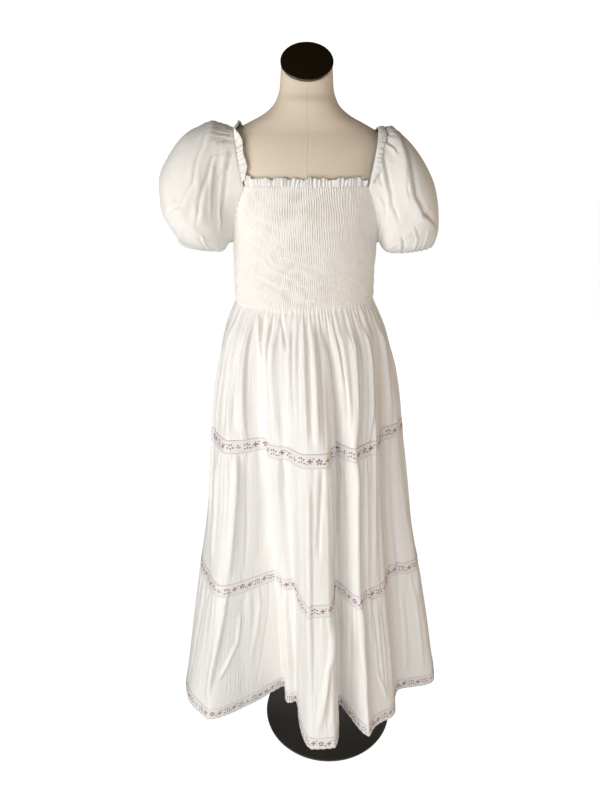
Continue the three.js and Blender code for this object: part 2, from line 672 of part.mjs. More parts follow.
/** The elastic cuff: a short band that hangs inside the sleeve's tucked lower end. */
function addCuff(side) {
  const { outX, outZ, inX, inZ, halfDepth } = sleeveSections[side].at(-1);
  const middle = new THREE.Vector3((outX + inX) / 2, 0, (outZ + inZ) / 2);
  const sideways = new THREE.Vector3(outX - inX, 0, outZ - inZ);
  const halfWidth = sideways.length() / 2;
  sideways.normalize();
  const down = new THREE.Vector3(sideways.z, 0, -sideways.x).multiplyScalar(Math.sign(sideways.x));
  const ringAt = (grow, drop) => {
    const ring = [];
    for (let column = 0; column < sleeveColumns; column += 1) {
      const angle = radians(((column + 0.5) * 360) / sleeveColumns);
      const point = middle.clone().addScaledVector(sideways, (halfWidth + grow) * Math.sin(angle));
      point.addScaledVector(down, drop).setY(-(halfDepth + grow) * Math.cos(angle));
      ring.push(point);
    }
    return ring;
  };
  const outer = [ringAt(-0.5, 0.6), ringAt(-0.5, cuffWidth)];
  const inner = [ringAt(-0.5 - trimWall, 0.6), ringAt(-0.5 - trimWall, cuffWidth)];
  addPiece(`cuff_${side}`, wallBody(outer, inner, true), cream);
}

addStand();
addSkirt();
for (const half of ['front', 'back']) {
  addBodiceHalf(half);
  addNeckRuffle(half);
}
for (const side of ['left', 'right']) {
  addSleeve(side);
  addCuff(side);
  addShoulderRuffle(side);
}

export default dress;
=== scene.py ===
import math

import bpy
import numpy as np
from mathutils import Matrix


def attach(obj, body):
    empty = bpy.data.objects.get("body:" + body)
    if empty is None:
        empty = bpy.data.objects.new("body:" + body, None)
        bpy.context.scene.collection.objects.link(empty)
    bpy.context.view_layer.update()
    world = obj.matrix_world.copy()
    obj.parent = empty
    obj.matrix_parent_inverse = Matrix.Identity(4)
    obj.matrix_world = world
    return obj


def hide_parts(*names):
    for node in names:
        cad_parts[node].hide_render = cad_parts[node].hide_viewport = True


# A tiered peasant dress of thin off-white cotton, worn by a limbless dress form on a round plate.
# Shapes are worked out in millimetres and become metres when a mesh is made. The front faces -Y,
# and an azimuth is an angle round the body in degrees: 0 at the front, 90 towards +X.
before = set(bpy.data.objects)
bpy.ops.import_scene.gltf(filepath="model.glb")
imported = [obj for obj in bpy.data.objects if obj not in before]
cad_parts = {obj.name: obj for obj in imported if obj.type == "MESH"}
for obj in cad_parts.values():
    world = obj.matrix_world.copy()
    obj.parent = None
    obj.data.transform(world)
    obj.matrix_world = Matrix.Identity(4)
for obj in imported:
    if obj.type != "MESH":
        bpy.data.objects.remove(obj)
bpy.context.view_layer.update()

# The base plate: a round of steel, 344 mm across and 5 mm thick, with a satin black powder coat.
# It lies flat on the floor, under the middle of the form and a little to the right of the waist,
# and its rim is rounded over.


def add_mesh(name, points, faces, material, nodes=()):
    """A piece from points in millimetres and lists of corners. It rides on the dress's one body, takes the
    finish that it is given and stands for the solids it is built over."""
    mesh = bpy.data.meshes.new(name)
    mesh.from_pydata((np.asarray(points).reshape(-1, 3) * 0.001).tolist(), [], faces)
    mesh.polygons.foreach_set("use_smooth", np.ones(len(mesh.polygons), bool))
    mesh.materials.append(material)
    piece = bpy.data.objects.new(name, mesh)
    bpy.context.scene.collection.objects.link(piece)
    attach(piece, "root")
    if nodes:
        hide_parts(*nodes)
    return piece


def grid_faces(rows, columns, round_about=False):
    """The four-sided cells of a grid of points. Seen from outside, its rows run downwards and its
    columns to the right; round about, the last column is joined to the first."""
    index = np.arange(rows * columns).reshape(rows, columns)
    if round_about:
        index = np.hstack([index, index[:, :1]])
    cells = [index[:-1, :-1], index[1:, :-1], index[1:, 1:], index[:-1, 1:]]
    return np.stack(cells, -1).reshape(-1, 4).tolist()


def round_points(azimuth, radius, z, shift=0.0):
    """Points at an azimuth, a radius and a height: x is the radius times the sine, and y is minus
    the radius times the cosine. A shift moves them sideways, square to the radius."""
    angle = np.radians(azimuth)
    x = radius * np.sin(angle) + shift * np.cos(angle)
    y = -radius * np.cos(angle) + shift * np.sin(angle)
    return np.stack(np.broadcast_arrays(x, y, z), -1)


def even_azimuths(columns):
    """Azimuths at even steps all the way round: each column's number times 360 over their count."""
    return np.arange(columns) * 360 / columns


def tube_faces(rows, columns):
    """The cells of a grid that runs round about, with a flat face over its first ring and another
    over its last."""
    last = (rows - 1) * columns
    ends = [list(range(columns)), list(range(last + columns - 1, last - 1, -1))]
    return grid_faces(rows, columns, round_about=True) + ends


stand_slope = 0.039  # how far the stand leans to -X for each millimetre up
lean_height = 1170  # the height at which the stand's lean ends


def stand_shift(z):
    """How far the stand's middle lies to +X: the slope times the height that is left to go."""
    return stand_slope * np.maximum(0, lean_height - z)


def new_material(name, colour, roughness):
    """A material, its shader, and a function that adds a node to it."""
    material = bpy.data.materials.new(name)
    material.use_nodes = True
    tree = material.node_tree
    shader = tree.nodes["Principled BSDF"]
    shader.inputs["Base Color"].default_value = (*colour, 1)
    shader.inputs["Roughness"].default_value = roughness

    def add_node(kind, sources=None, **settings):
        """A node of a kind, each of whose sources is a socket to link or a value to set."""
        node = tree.nodes.new(kind)
        for key, value in settings.items():
            setattr(node, key, value)
        for socket, source in (sources or {}).items():
            if isinstance(source, bpy.types.NodeSocket):
                tree.links.new(source, node.inputs[socket])
            else:
                node.inputs[socket].default_value = source
        return node

    return material, shader, add_node


def join(material, source, target):
    """Links one socket to another in a material."""
    material.node_tree.links.new(source, target)


satin_black, shader, node = new_material("powder_coat_satin_black", (0.035, 0.031, 0.027), 0.42)
place = node("ShaderNodeTexCoord").outputs["Object"]
grain = node("ShaderNodeTexNoise", {"Vector": place, "Scale": 900.0, "Detail": 2.0})
cloud = node("ShaderNodeTexNoise", {"Vector": place, "Scale": 14.0, "Detail": 4.0})
tone = node("ShaderNodeMapRange", {"Value": cloud.outputs["Fac"], "To Min": 0.36, "To Max": 0.5})
bump = node("ShaderNodeBump", {"Height": grain.outputs["Fac"], "Strength": 0.25, "Distance": 0.0002})
join(satin_black, tone.outputs["Result"], shader.inputs["Roughness"])
join(satin_black, bump.outputs["Normal"], shader.inputs["Normal"])

plate_profile = np.array([
    # radius and height, from the upper face round the rim to the underside
    (168, 5), (170.6, 4.5), (171.8, 3.4), (172, 2.5), (171.8, 1.4), (170.8, 0.3), (169, 0),
])
plate_columns = 128
plate_radius, plate_z = plate_profile[:, :1], plate_profile[:, 1:]
plate = round_points(even_azimuths(plate_columns)[None], plate_radius, plate_z)
plate[..., 0] += stand_shift(0)
plate_faces = tube_faces(len(plate_profile), plate_columns)
add_mesh("base_plate_disc", plate, plate_faces, satin_black, ["base_plate"])

# The pole: a steel tube, 30 mm across, coated as the plate is and screwed to it. It leans a little,
# as the form does, and ends at the underside of the torso.
pole_radius = 15
pole_top, pole_foot = 775.7, 5.3
pole_rows, pole_columns = 12, 32
pole_z = np.linspace(pole_top, pole_foot, pole_rows)[:, None]
pole = round_points(even_azimuths(pole_columns)[None], pole_radius, pole_z)
pole[..., 0] += stand_shift(pole[..., 2])
pole_faces = tube_faces(pole_rows, pole_columns)
add_mesh("pole_tube", pole, pole_faces, satin_black, ["pole"])

# The torso: a moulded shell under a tight cover of cream knitted jersey, sewn from two halves that
# meet in a seam down the middle of the front. It has no arms, and its neck is cut off at a slant.
form_rows = np.array([
    # height, half width, depth to the front, depth to the back
    (776, 62, 46, 46), (786, 110, 81, 79), (808, 139, 100, 99), (850, 157, 111, 113),
    (930, 164, 117, 121), (1020, 156, 110, 114), (1110, 138, 93, 88), (1190, 140, 94, 82),
    (1250, 140, 100, 84), (1305, 141, 109, 88), (1350, 146, 110, 92), (1400, 158, 102, 94),
    (1445, 167, 91, 89), (1478, 170, 79, 80), (1500, 157, 68, 70), (1514, 136, 60, 62),
    (1527, 111, 55, 57), (1543, 80, 51, 53), (1562, 60, 48, 50), (1588, 51, 43, 45),
    (1630, 48, 38, 38),
])
waist_height = 1190
upper_lean = math.radians(1.6)  # how far the body above the waist leans to +X
tip_height, neck_cut = 1555, 1630  # where the neck's rings begin to tip, and its cut face
neck_slant = math.radians(42)


def through_rows(rows, column, z):
    """A table's column at height z, on cubic pieces through its rows. The slope at a row is the
    harmonic mean of the slopes beside it, and nought at a peak, so that it never overshoots."""
    heights, values = rows[:, 0], rows[:, column]
    steps = np.diff(heights)
    slopes = np.diff(values) / steps
    product = slopes[:-1] * slopes[1:]
    total = slopes[:-1] + slopes[1:]
    inner = np.where(product > 0, 2 * product / np.where(total == 0, 1, total), 0)
    tangents = np.concatenate([slopes[:1], inner, slopes[-1:]])
    z = np.clip(z, heights[0], heights[-1])
    row = np.clip(np.searchsorted(heights, z, side="right") - 1, 0, len(steps) - 1)
    step = steps[row]
    t = (z - heights[row]) / step
    start = values[row] * (1 + 2 * t) + tangents[row] * step * t
    end = values[row + 1] * (3 - 2 * t) - tangents[row + 1] * step * (1 - t)
    return start * (1 - t) ** 2 + end * t ** 2


def ring_radius(rows, z, azimuth, grow=0.0):
    """The radius of a section: a ring a little squarer than an ellipse, with a power of 2.2 where
    an ellipse has 2."""
    power = 2.2
    angle = np.radians(azimuth)
    depth = np.where(np.cos(angle) > 0, through_rows(rows, 2, z), through_rows(rows, 3, z)) + grow
    side = through_rows(rows, 1, z) + grow
    across = (np.abs(np.sin(angle)) / side) ** power
    along = (np.abs(np.cos(angle)) / depth) ** power
    return (across + along) ** (-1 / power)


def ease(t):
    """A smooth step from 0 to 1: 3t squared less 2t cubed."""
    t = np.clip(t, 0, 1)
    return t * t * (3 - 2 * t)


def lean(points):
    """The upper body's lean: points above the waist turn about its middle, by an angle that grows
    to the whole lean over 120 mm."""
    rise = points[..., 2] - waist_height
    angle = upper_lean * ease(rise / 120)
    x = points[..., 0] * np.cos(angle) + rise * np.sin(angle)
    z = waist_height - points[..., 0] * np.sin(angle) + rise * np.cos(angle)
    return np.stack([x, points[..., 1], z], -1)


def form_points(azimuth, z, out=0.0):
    """Points of the torso's surface, moved out: its sections slide with the pole below the waist,
    and up the neck the rings tip forward until they lie in its cut face."""
    azimuth, z, out = np.broadcast_arrays(azimuth, z, out)
    points = round_points(azimuth, ring_radius(form_rows, z, azimuth, out), z)
    points[..., 0] += stand_shift(z)
    tipped = ease((z - tip_height) / (neck_cut - tip_height))
    points[..., 2] += tipped * math.tan(neck_slant) * points[..., 1]
    return lean(points)


cream_jersey, shader, node = new_material("cream_jersey", (0.77, 0.66, 0.52), 0.85)
shader.inputs["Sheen Weight"].default_value = 0.25
shader.inputs["Sheen Roughness"].default_value = 0.5
place = node("ShaderNodeTexCoord").outputs["Object"]
cloud = node("ShaderNodeTexNoise", {"Vector": place, "Scale": 9.0, "Detail": 3.0})
tint = node("ShaderNodeMix", {"Factor": cloud.outputs["Fac"]}, data_type="RGBA")
tint.inputs["A"].default_value = (0.80, 0.69, 0.555, 1)
tint.inputs["B"].default_value = (0.74, 0.63, 0.49, 1)
ribs = node("ShaderNodeTexWave", {"Vector": place, "Scale": 210.0, "Distortion": 1.2, "Detail": 1.0})
stretch = node("ShaderNodeTexNoise", {"Vector": place, "Scale": 420.0, "Detail": 2.0})
knit = node("ShaderNodeMath", {0: ribs.outputs["Fac"], 1: stretch.outputs["Fac"]}, operation="ADD")
bump = node("ShaderNodeBump", {"Height": knit.outputs["Value"], "Strength": 0.3, "Distance": 0.0003})
join(cream_jersey, tint.outputs["Result"], shader.inputs["Base Color"])
join(cream_jersey, bump.outputs["Normal"], shader.inputs["Normal"])

form_columns = 96
shoulders_z, body_z = np.linspace(neck_cut, 1400, 60), np.linspace(1390, 790, 61)
torso_z = np.concatenate([shoulders_z, body_z, [784, 779, 776]])
torso = form_points(even_azimuths(form_columns)[None], torso_z[:, None])
torso_faces = tube_faces(len(torso_z), form_columns)
add_mesh("torso_cover", torso, torso_faces, cream_jersey, ["form_torso"])

seam_section = np.array([
    # place across the seam in degrees, before it is narrowed, and how far it stands out in mm
    (-1.5, 0.1), (-0.9, 0.45), (-0.35, 0.8), (0, 0.9), (0.3, 0.55), (0.6, 0.1),
])
seam_narrowing = 48 / 70
seam_rows = 70
seam_z = np.linspace(1624, 1405, seam_rows)[:, None]
seam = form_points(seam_section[:, 0] * seam_narrowing, seam_z, seam_section[:, 1])
seam_faces = grid_faces(seam_rows, len(seam_section))
add_mesh("torso_front_seam", seam, seam_faces, cream_jersey)

# The neck cap: a slanted oval of gloss black plastic, 5 mm thick, glued on the cut neck. Its edge
# stands 1.5 mm past the jersey and is rounded over.
gloss_black, shader, node = new_material("gloss_black_plastic", (0.018, 0.012, 0.006), 0.16)
shader.inputs["Coat Weight"].default_value = 0.4
shader.inputs["Coat Roughness"].default_value = 0.08
place = node("ShaderNodeTexCoord").outputs["Object"]
cloud = node("ShaderNodeTexNoise", {"Vector": place, "Scale": 30.0, "Detail": 2.0})
bump = node("ShaderNodeBump", {"Height": cloud.outputs["Fac"], "Strength": 0.08, "Distance": 0.001})
join(gloss_black, bump.outputs["Normal"], shader.inputs["Normal"])

cap_profile = np.array([
    # share of the cap's half sizes, and height over the neck's cut face, from the top down
    (0.92, 5.3), (0.97, 5.1), (0.99, 4.6), (1, 3.8), (1, 1.4), (0.99, 0.6), (0.96, 0.3),
])
cap_overhang = 1.5
neck_half_width, neck_half_depth = form_rows[-1, 1:3]
cap_half_width = neck_half_width + cap_overhang
cap_half_length = neck_half_depth / math.cos(neck_slant) + cap_overhang
cap_angle = np.radians(even_azimuths(form_columns))
across = cap_profile[:, :1] * cap_half_width * np.sin(cap_angle)
along = -cap_profile[:, :1] * cap_half_length * np.cos(cap_angle)
up = cap_profile[:, 1:] * np.ones(form_columns)
cap = np.stack([
    across,
    along * math.cos(neck_slant) - up * math.sin(neck_slant),
    along * math.sin(neck_slant) + up * math.cos(neck_slant),
], -1)
neck_middle = lean(np.array([0.0, 0.0, neck_cut]))
cap = neck_middle + np.stack([
    cap[..., 0] * math.cos(upper_lean) + cap[..., 2] * math.sin(upper_lean),
    cap[..., 1],
    cap[..., 2] * math.cos(upper_lean) - cap[..., 0] * math.sin(upper_lean),
], -1)
cap_faces = tube_faces(len(cap_profile), form_columns)
add_mesh("neck_cap_disc", cap, cap_faces, gloss_black, ["neck_cap"])

# The skirt's three tiers: straight strips of thin plain-weave cotton, each longer than the one
# above and gathered into it. The waist seam and two embroidered bands hold the gathers. Below
# them the cloth falls in deep folds, eleven round the body, which open towards the hem.
skirt_rows = np.array([
    # height, half width, depth to the front, depth to the back, all of the outermost folds
    (170, 332, 270, 250), (350, 303, 246, 228), (530, 270, 221, 205), (700, 239, 209, 188),
    (890, 213, 197, 172), (970, 204, 181, 160), (1050, 190, 159, 141), (1120, 174, 133, 117),
    (1160, 158, 111, 96), (1190, 143.5, 97.5, 85.5),
])
skirt_folds = [
    # azimuth, reach to the left and right in degrees, depth at the upper band, the lower band
    # and the hem (negative is inwards), and how far it bends sideways as a share of its depth
    (-70, 20, 14, 0, -7, 9, 0), (-42, 14, 22, -56, -122, -192, 0),
    (-18, 24, 18, -38, -96, -140, 0), (19.5, 9, 11, -46, -80, -120, 0.15),
    (38, 14, 14, -14, -25, -35, 0), (65, 30, 13, -32, -54, -80, 0),
    (104, 13, 17, -22, -46, -72, -0.1), (139, 17, 22, -30, -78, -128, 0.1),
    (177, 13, 15, -20, -46, -74, 0.14), (212, 20, 16, -32, -84, -138, -0.1),
    (247, 15, 14, -24, -52, -86, -0.12),
]
creases = {
    # share of the way along the half in percent and height, at the crease's top and at its
    # bottom, then its reach to the left and right and its height (a trough's is negative), in mm.
    # They go from the left side seam to the right one, first on tier 1, then on tier 2 and tier 3
    "front": [
        (4.5, 1150, 4, 880, 12, 9, -4), (7.5, 1120, 7, 600, 12, 10, 5), (12, 1170, 11, 860, 12, 9, 4),
        (16, 1168, 17, 900, 9, 12, -5), (19, 1170, 19.5, 905, 11, 7, 4), (22.5, 1165, 21, 905, 7, 9, -5),
        (24, 1182, 24.8, 880, 16, 8, 8), (26, 1189, 31.8, 1085, 7, 6, 6),
        (32.3, 1110, 27.4, 545, 22, 20, -11), (31.8, 1189, 35.8, 925, 5, 5, 5),
        (35.5, 1160, 37.4, 880, 5, 14, 7), (37.5, 1189, 42.4, 1110, 5, 7, -6),
        (42.5, 1165, 43.8, 930, 12, 7, 6), (46.8, 1165, 45.7, 900, 6, 8, -5),
        (49, 1184, 48.1, 900, 9, 6, 6), (50.8, 1160, 49.7, 925, 6, 6, -5),
        (53.3, 1184, 51, 900, 11, 9, 8), (55.8, 1150, 53.2, 890, 7, 7, -4),
        (57.6, 1184, 60.8, 560, 15, 3, 7), (59.5, 1186, 62.6, 480, 4, 18, -6),
        (64.5, 1160, 65, 930, 7, 7, -4), (71, 1160, 68.2, 890, 13, 9, 8),
        (75.2, 1158, 71.4, 900, 7, 8, -6), (79, 1165, 74.2, 890, 8, 4, 7),
        (83.5, 1165, 77.9, 990, 5, 14, -7), (77.9, 1000, 78.2, 500, 4, 17, -9),
        (76.6, 1010, 76.6, 545, 10, 3, 6), (88.5, 1150, 89, 890, 10, 9, 6),
        (93.5, 1130, 93.5, 600, 9, 12, -6), (96.6, 1110, 96.6, 600, 10, 10, 5),

        (13, 860, 12, 545, 20, 14, 5), (22, 885, 18.8, 535, 13, 8, 9), (24.7, 880, 23.3, 560, 6, 8, -4),
        (36.5, 905, 34.9, 515, 3, 16, 8), (38.2, 888, 37.2, 770, 5, 5, -5),
        (40.2, 880, 42.8, 740, 6, 9, 4), (48.2, 900, 49.4, 250, 14, 9, 6),
        (51.9, 880, 50.8, 640, 7, 7, -4), (54.5, 885, 56.6, 640, 8, 6, 4),
        (69, 888, 70.8, 560, 14, 12, 4), (73.2, 885, 74.5, 550, 8, 3, 6),
        (84, 880, 84, 560, 9, 12, 5), (89, 870, 88, 300, 12, 12, -6),

        (9, 500, 8, 200, 14, 14, -4), (18.9, 550, 15.1, 195, 15, 9, 9),
        (22.3, 465, 21.6, 360, 9, 4, 5), (21.8, 385, 17.6, 280, 10, 4, 6),
        (30.2, 480, 25.8, 205, 5, 7, -4), (27.5, 500, 24.8, 300, 12, 8, 4),
        (33, 500, 33.5, 260, 10, 12, 4), (34.9, 530, 37, 215, 3, 16, 8), (45, 400, 45.5, 205, 9, 9, 3),
        (55.2, 512, 50.6, 195, 13, 9, 8), (53.6, 420, 52.6, 215, 5, 9, -5),
        (71, 545, 72.3, 250, 15, 12, 7), (74.4, 570, 75.5, 360, 8, 3, 6),
        (75.3, 505, 76.4, 300, 4, 4, 5), (76.6, 500, 77.8, 220, 4, 4, 5),
        (78.4, 470, 78.6, 260, 4, 5, 4), (76, 330, 78.6, 230, 7, 4, 5),
        (78.2, 510, 79.1, 226, 4, 15, -7), (88.5, 500, 88.4, 190, 10, 8, 6),
        (91.8, 490, 92, 185, 10, 7, 5),
    ],
    "back": [
        (5, 1150, 5, 880, 12, 9, -5), (8.5, 1130, 8, 640, 10, 9, 5), (13, 1168, 12, 890, 10, 8, 6),
        (17, 1165, 18, 900, 8, 10, -5), (22, 1180, 21, 880, 13, 8, 7), (27.5, 1160, 26, 600, 9, 15, -8),
        (32, 1185, 33, 1050, 6, 7, 5), (36.5, 1165, 37, 890, 9, 6, 6), (40.5, 1180, 39.5, 905, 6, 9, -6),
        (44.5, 1184, 46, 880, 12, 9, 8), (49.5, 1160, 48.5, 560, 7, 14, -9),
        (53.5, 1185, 53, 900, 8, 8, 6), (57.5, 1165, 58.5, 910, 9, 7, -5),
        (61.5, 1184, 61, 880, 13, 8, 7), (66, 1160, 67, 930, 7, 9, -6), (70.5, 1180, 70, 890, 11, 8, 7),
        (75.5, 1165, 75.5, 600, 7, 16, -9), (80.5, 1180, 80, 905, 10, 7, 6),
        (86, 1160, 87, 890, 9, 9, -5), (91, 1150, 92, 880, 10, 10, 5), (95.5, 1130, 95.5, 640, 9, 11, -5),

        (15, 880, 14, 550, 14, 9, 6), (20, 880, 21, 560, 9, 8, -4), (33, 885, 31, 550, 13, 10, 7),
        (38, 880, 40, 700, 6, 6, -4), (43, 885, 44, 300, 14, 9, 6), (57, 880, 55, 560, 12, 10, 6),
        (64, 885, 66, 300, 14, 12, 7), (71, 880, 72, 560, 9, 4, 6), (83, 880, 82, 560, 12, 10, 6),
        (88, 880, 87, 640, 7, 9, -5),

        (12, 510, 10, 195, 14, 9, 7), (22, 500, 23, 260, 5, 8, -4), (30, 520, 27, 200, 13, 10, 7),
        (37, 500, 38, 240, 6, 5, 5), (47, 510, 45.5, 200, 12, 9, 6), (54, 480, 56, 230, 9, 6, -4),
        (68, 520, 70, 195, 14, 9, 7), (79, 500, 78, 220, 6, 5, 5), (86, 500, 87, 200, 12, 9, 6),
        (93, 480, 93, 210, 9, 9, -4),
    ],
}
fold_heights = (170, 530, 890, 1180)  # the hem, the two bands, and where the folds begin


def folded_points(azimuth, z, out=0.0):
    """The skirt without its gathers: the section's ring, with each fold added as a cosine wave of
    the azimuth. A fold has no depth at the waist and grows to its depth at the hem."""
    azimuth, z, out = np.broadcast_arrays(azimuth, z, out)
    radius = ring_radius(skirt_rows, z, azimuth) + out
    shift = np.zeros(radius.shape)
    for middle, left, right, upper, lower, hem, bend in skirt_folds:
        away = (azimuth - middle + 180) % 360 - 180
        t = np.clip(away / np.where(away < 0, left, right), -1, 1)
        levels = np.column_stack([fold_heights, (hem, lower, upper, 0)]).astype(float)
        depth = through_rows(levels, 1, z) * (1 + np.cos(np.pi * t)) / 2
        radius = radius + depth
        shift = shift + bend * np.abs(depth)
    return round_points(azimuth, radius, z, shift)


# for each half: its quarter degrees, and the length run along the folded ring up to each of them
run_heights = np.array([170.0, 530.0, 890.0, 1190.0])
half_start = {"front": -90.0, "back": 90.0}
half_runs = {}
for half, start in half_start.items():
    samples = start + np.arange(180 * 4 + 1) / 4
    ring = folded_points(samples[None], run_heights[:, None])
    run = np.cumsum(np.linalg.norm(np.diff(ring, axis=1), axis=-1), axis=1)
    run = np.hstack([np.zeros((len(run), 1)), run])
    half_runs[half] = (samples, run / run[:, -1:], run[:, -1])


def half_length(half, z):
    """The length of half the folded ring at a height, blended between the four heights."""
    return np.interp(z, run_heights, half_runs[half][2])


def cloth_azimuth(half, s, z):
    """The azimuth of a share s of the way along half of a strip, at height z: at four heights the
    share is counted along the folded ring's own length, and between them it is blended."""
    samples, shares, _ = half_runs[half]
    s, z = np.broadcast_arrays(s, z)
    at_levels = np.stack([np.interp(s, share, samples) for share in shares])
    level = np.searchsorted(run_heights, z, side="right") - 1
    level = np.clip(level, 0, len(run_heights) - 2)
    t = (z - run_heights[level]) / (run_heights[level + 1] - run_heights[level])
    lower = np.take_along_axis(at_levels, level[None], 0)[0]
    upper = np.take_along_axis(at_levels, level[None] + 1, 0)[0]
    return lower + (upper - lower) * np.clip(t, 0, 1)


def crest(turns):
    """A row of soft folds, one for each turn: round crests with pinched valleys between them, as
    the root of a squared cosine, set level about nought."""
    return np.sqrt(np.cos(np.pi * turns) ** 2 + 0.02) - 0.64


def unevenly(s, turn):
    """A share along a half, drawn back and forth so that the folds counted by it are unevenly
    spaced: the share plus two slow sines of itself."""
    slow = 0.011 * np.sin(2 * np.pi * (3.1 * s + turn))
    return s + slow + 0.006 * np.sin(2 * np.pi * (7.7 * s + turn))


tiers = {
    # the seam that holds the gathers, and the lower edge, both as heights
    1: (1190, 912), 2: (880, 552), 3: (520, 202),
}
gather_counts = {
    # how many fine, middle and wide folds each tier has on each half of the body
    1: (48, 25, 11), 2: (56, 31, 13), 3: (70, 39, 15),
}


def gather_turn(half, tier):
    """A number of its own for each half and tier, so that no two have their folds alike."""
    return {"front": 0.0, "back": 2.1}[half] + tier * 1.3


def waist_gathers(s, half):
    """The fine folds of tier 1 at the waist seam, which the smocking above runs into."""
    return 2.3 * crest(gather_counts[1][0] * unevenly(s, gather_turn(half, 1)))


def gather_out(s, drop, half, tier):
    """How far the gathers below a seam stand out, in millimetres. Fine folds pinched at the seam
    die within a few centimetres, and fewer, wider ones grow below them and fade more slowly. The
    folds are unevenly spaced, and each set swells and shrinks along the strip."""
    turn = gather_turn(half, tier)
    fine, middle, wide = gather_counts[tier]
    spaced = unevenly(s, turn)
    drift = 0.004 * np.sin(drop / 61 + 9 * s + turn) + 0.0016 * np.sin(drop / 23 + 31 * s)
    swell = np.sin(2 * np.pi * (4.3 * s + 0.3 * turn)) * np.sin(2 * np.pi * (1.7 * s + turn))
    strong = 0.8 + 0.45 * swell
    down = np.clip(drop, 0, None)
    small = waist_gathers(s, half) if tier == 1 else 2.2 * crest(fine * spaced)
    small = small * np.exp(-down / 40)
    medium = 4.6 * ease(down / 28) * np.exp(-down / 120) * crest(middle * (spaced + drift))
    large = 3.4 * ease(down / 70) * np.exp(-down / 360) * crest(wide * (spaced + 1.6 * drift) + 0.3)
    begins = 1 if tier == 1 else ease(drop / 6)
    return (small + strong * (medium + large)) * begins


def crease_out(s, z, half, length):
    """How far the creases stand out: along each one's line lies a ridge or trough whose section is
    a cosine wave, and which fades in over a sixth of its length and out over a third of it."""
    out = np.zeros(s.shape)
    for top_share, top, bottom_share, bottom, left, right, height in creases[half]:
        down = np.clip((top - z) / (top - bottom), 0, 1)
        away = (s - (top_share + (bottom_share - top_share) * down) / 100) * length
        t = np.clip(away / np.where(away < 0, left, right), -1, 1)
        out += height * ease(down * 6) * ease((1 - down) * 3) * (1 + np.cos(np.pi * t)) / 2
    return out


def seam_drop(azimuth):
    """How far the waist seam hangs below its height at the back: up to 14 mm at the front, as the
    fourth power of the half angle's cosine, with two small waves added."""
    facing = (1 + np.cos(np.radians(azimuth))) / 2
    return 14 * facing ** 2 + 1.2 * np.sin(azimuth / 6.1) + 0.8 * np.sin(azimuth / 2.7 + 1)


def hem_puckers(along, z):
    """Small folds 13 mm apart that the hem border draws into the cloth. They are 0.9 mm high at
    its seam and die away above and below it."""
    border_seam = 204
    fading = np.exp(-np.abs(z - border_seam) / 20)
    return 0.9 * crest(along / 13 + 0.4 * np.sin(along / 31)) * fading


def skirt_points(half, s, z, out=0.0):
    """Points of the skirt's outer side: the folded ring, moved along its normal by the creases,
    the hem's puckers and the gathers of the tier that z is in. The side seams lie flat between
    them, and the waist follows its seam."""
    s, z = np.broadcast_arrays(s, z)
    azimuth = cloth_azimuth(half, s, z)
    length = half_length(half, z)
    raised = crease_out(s, z, half, length)
    below_hem = 100  # the lowest tier has no seam under it
    for tier, (seam, _) in tiers.items():
        next_seam = tiers[tier + 1][0] if tier + 1 in tiers else below_hem
        begins = 1 if tier == 1 else ease((seam + 4 - z) / 6)
        within = begins * ease((z - next_seam + 14) / 20)
        raised = raised + gather_out(s, seam - z, half, tier) * within
    raised = raised + hem_puckers(s * length, z)
    raised = raised * ease(s * length / 16) * ease((1 - s) * length / 16)
    along = folded_points(azimuth + 0.5, z) - folded_points(azimuth - 0.5, z)
    up = folded_points(azimuth, z + 3) - folded_points(azimuth, z - 3)
    normal = np.cross(along, up)
    normal /= np.linalg.norm(normal, axis=-1, keepdims=True)
    points = folded_points(azimuth, z) + normal * (raised + out)[..., None]
    upper_band = 890  # from here down the cloth hangs level again
    points[..., 2] -= seam_drop(azimuth) * ease((z - upper_band) / 250)
    return points


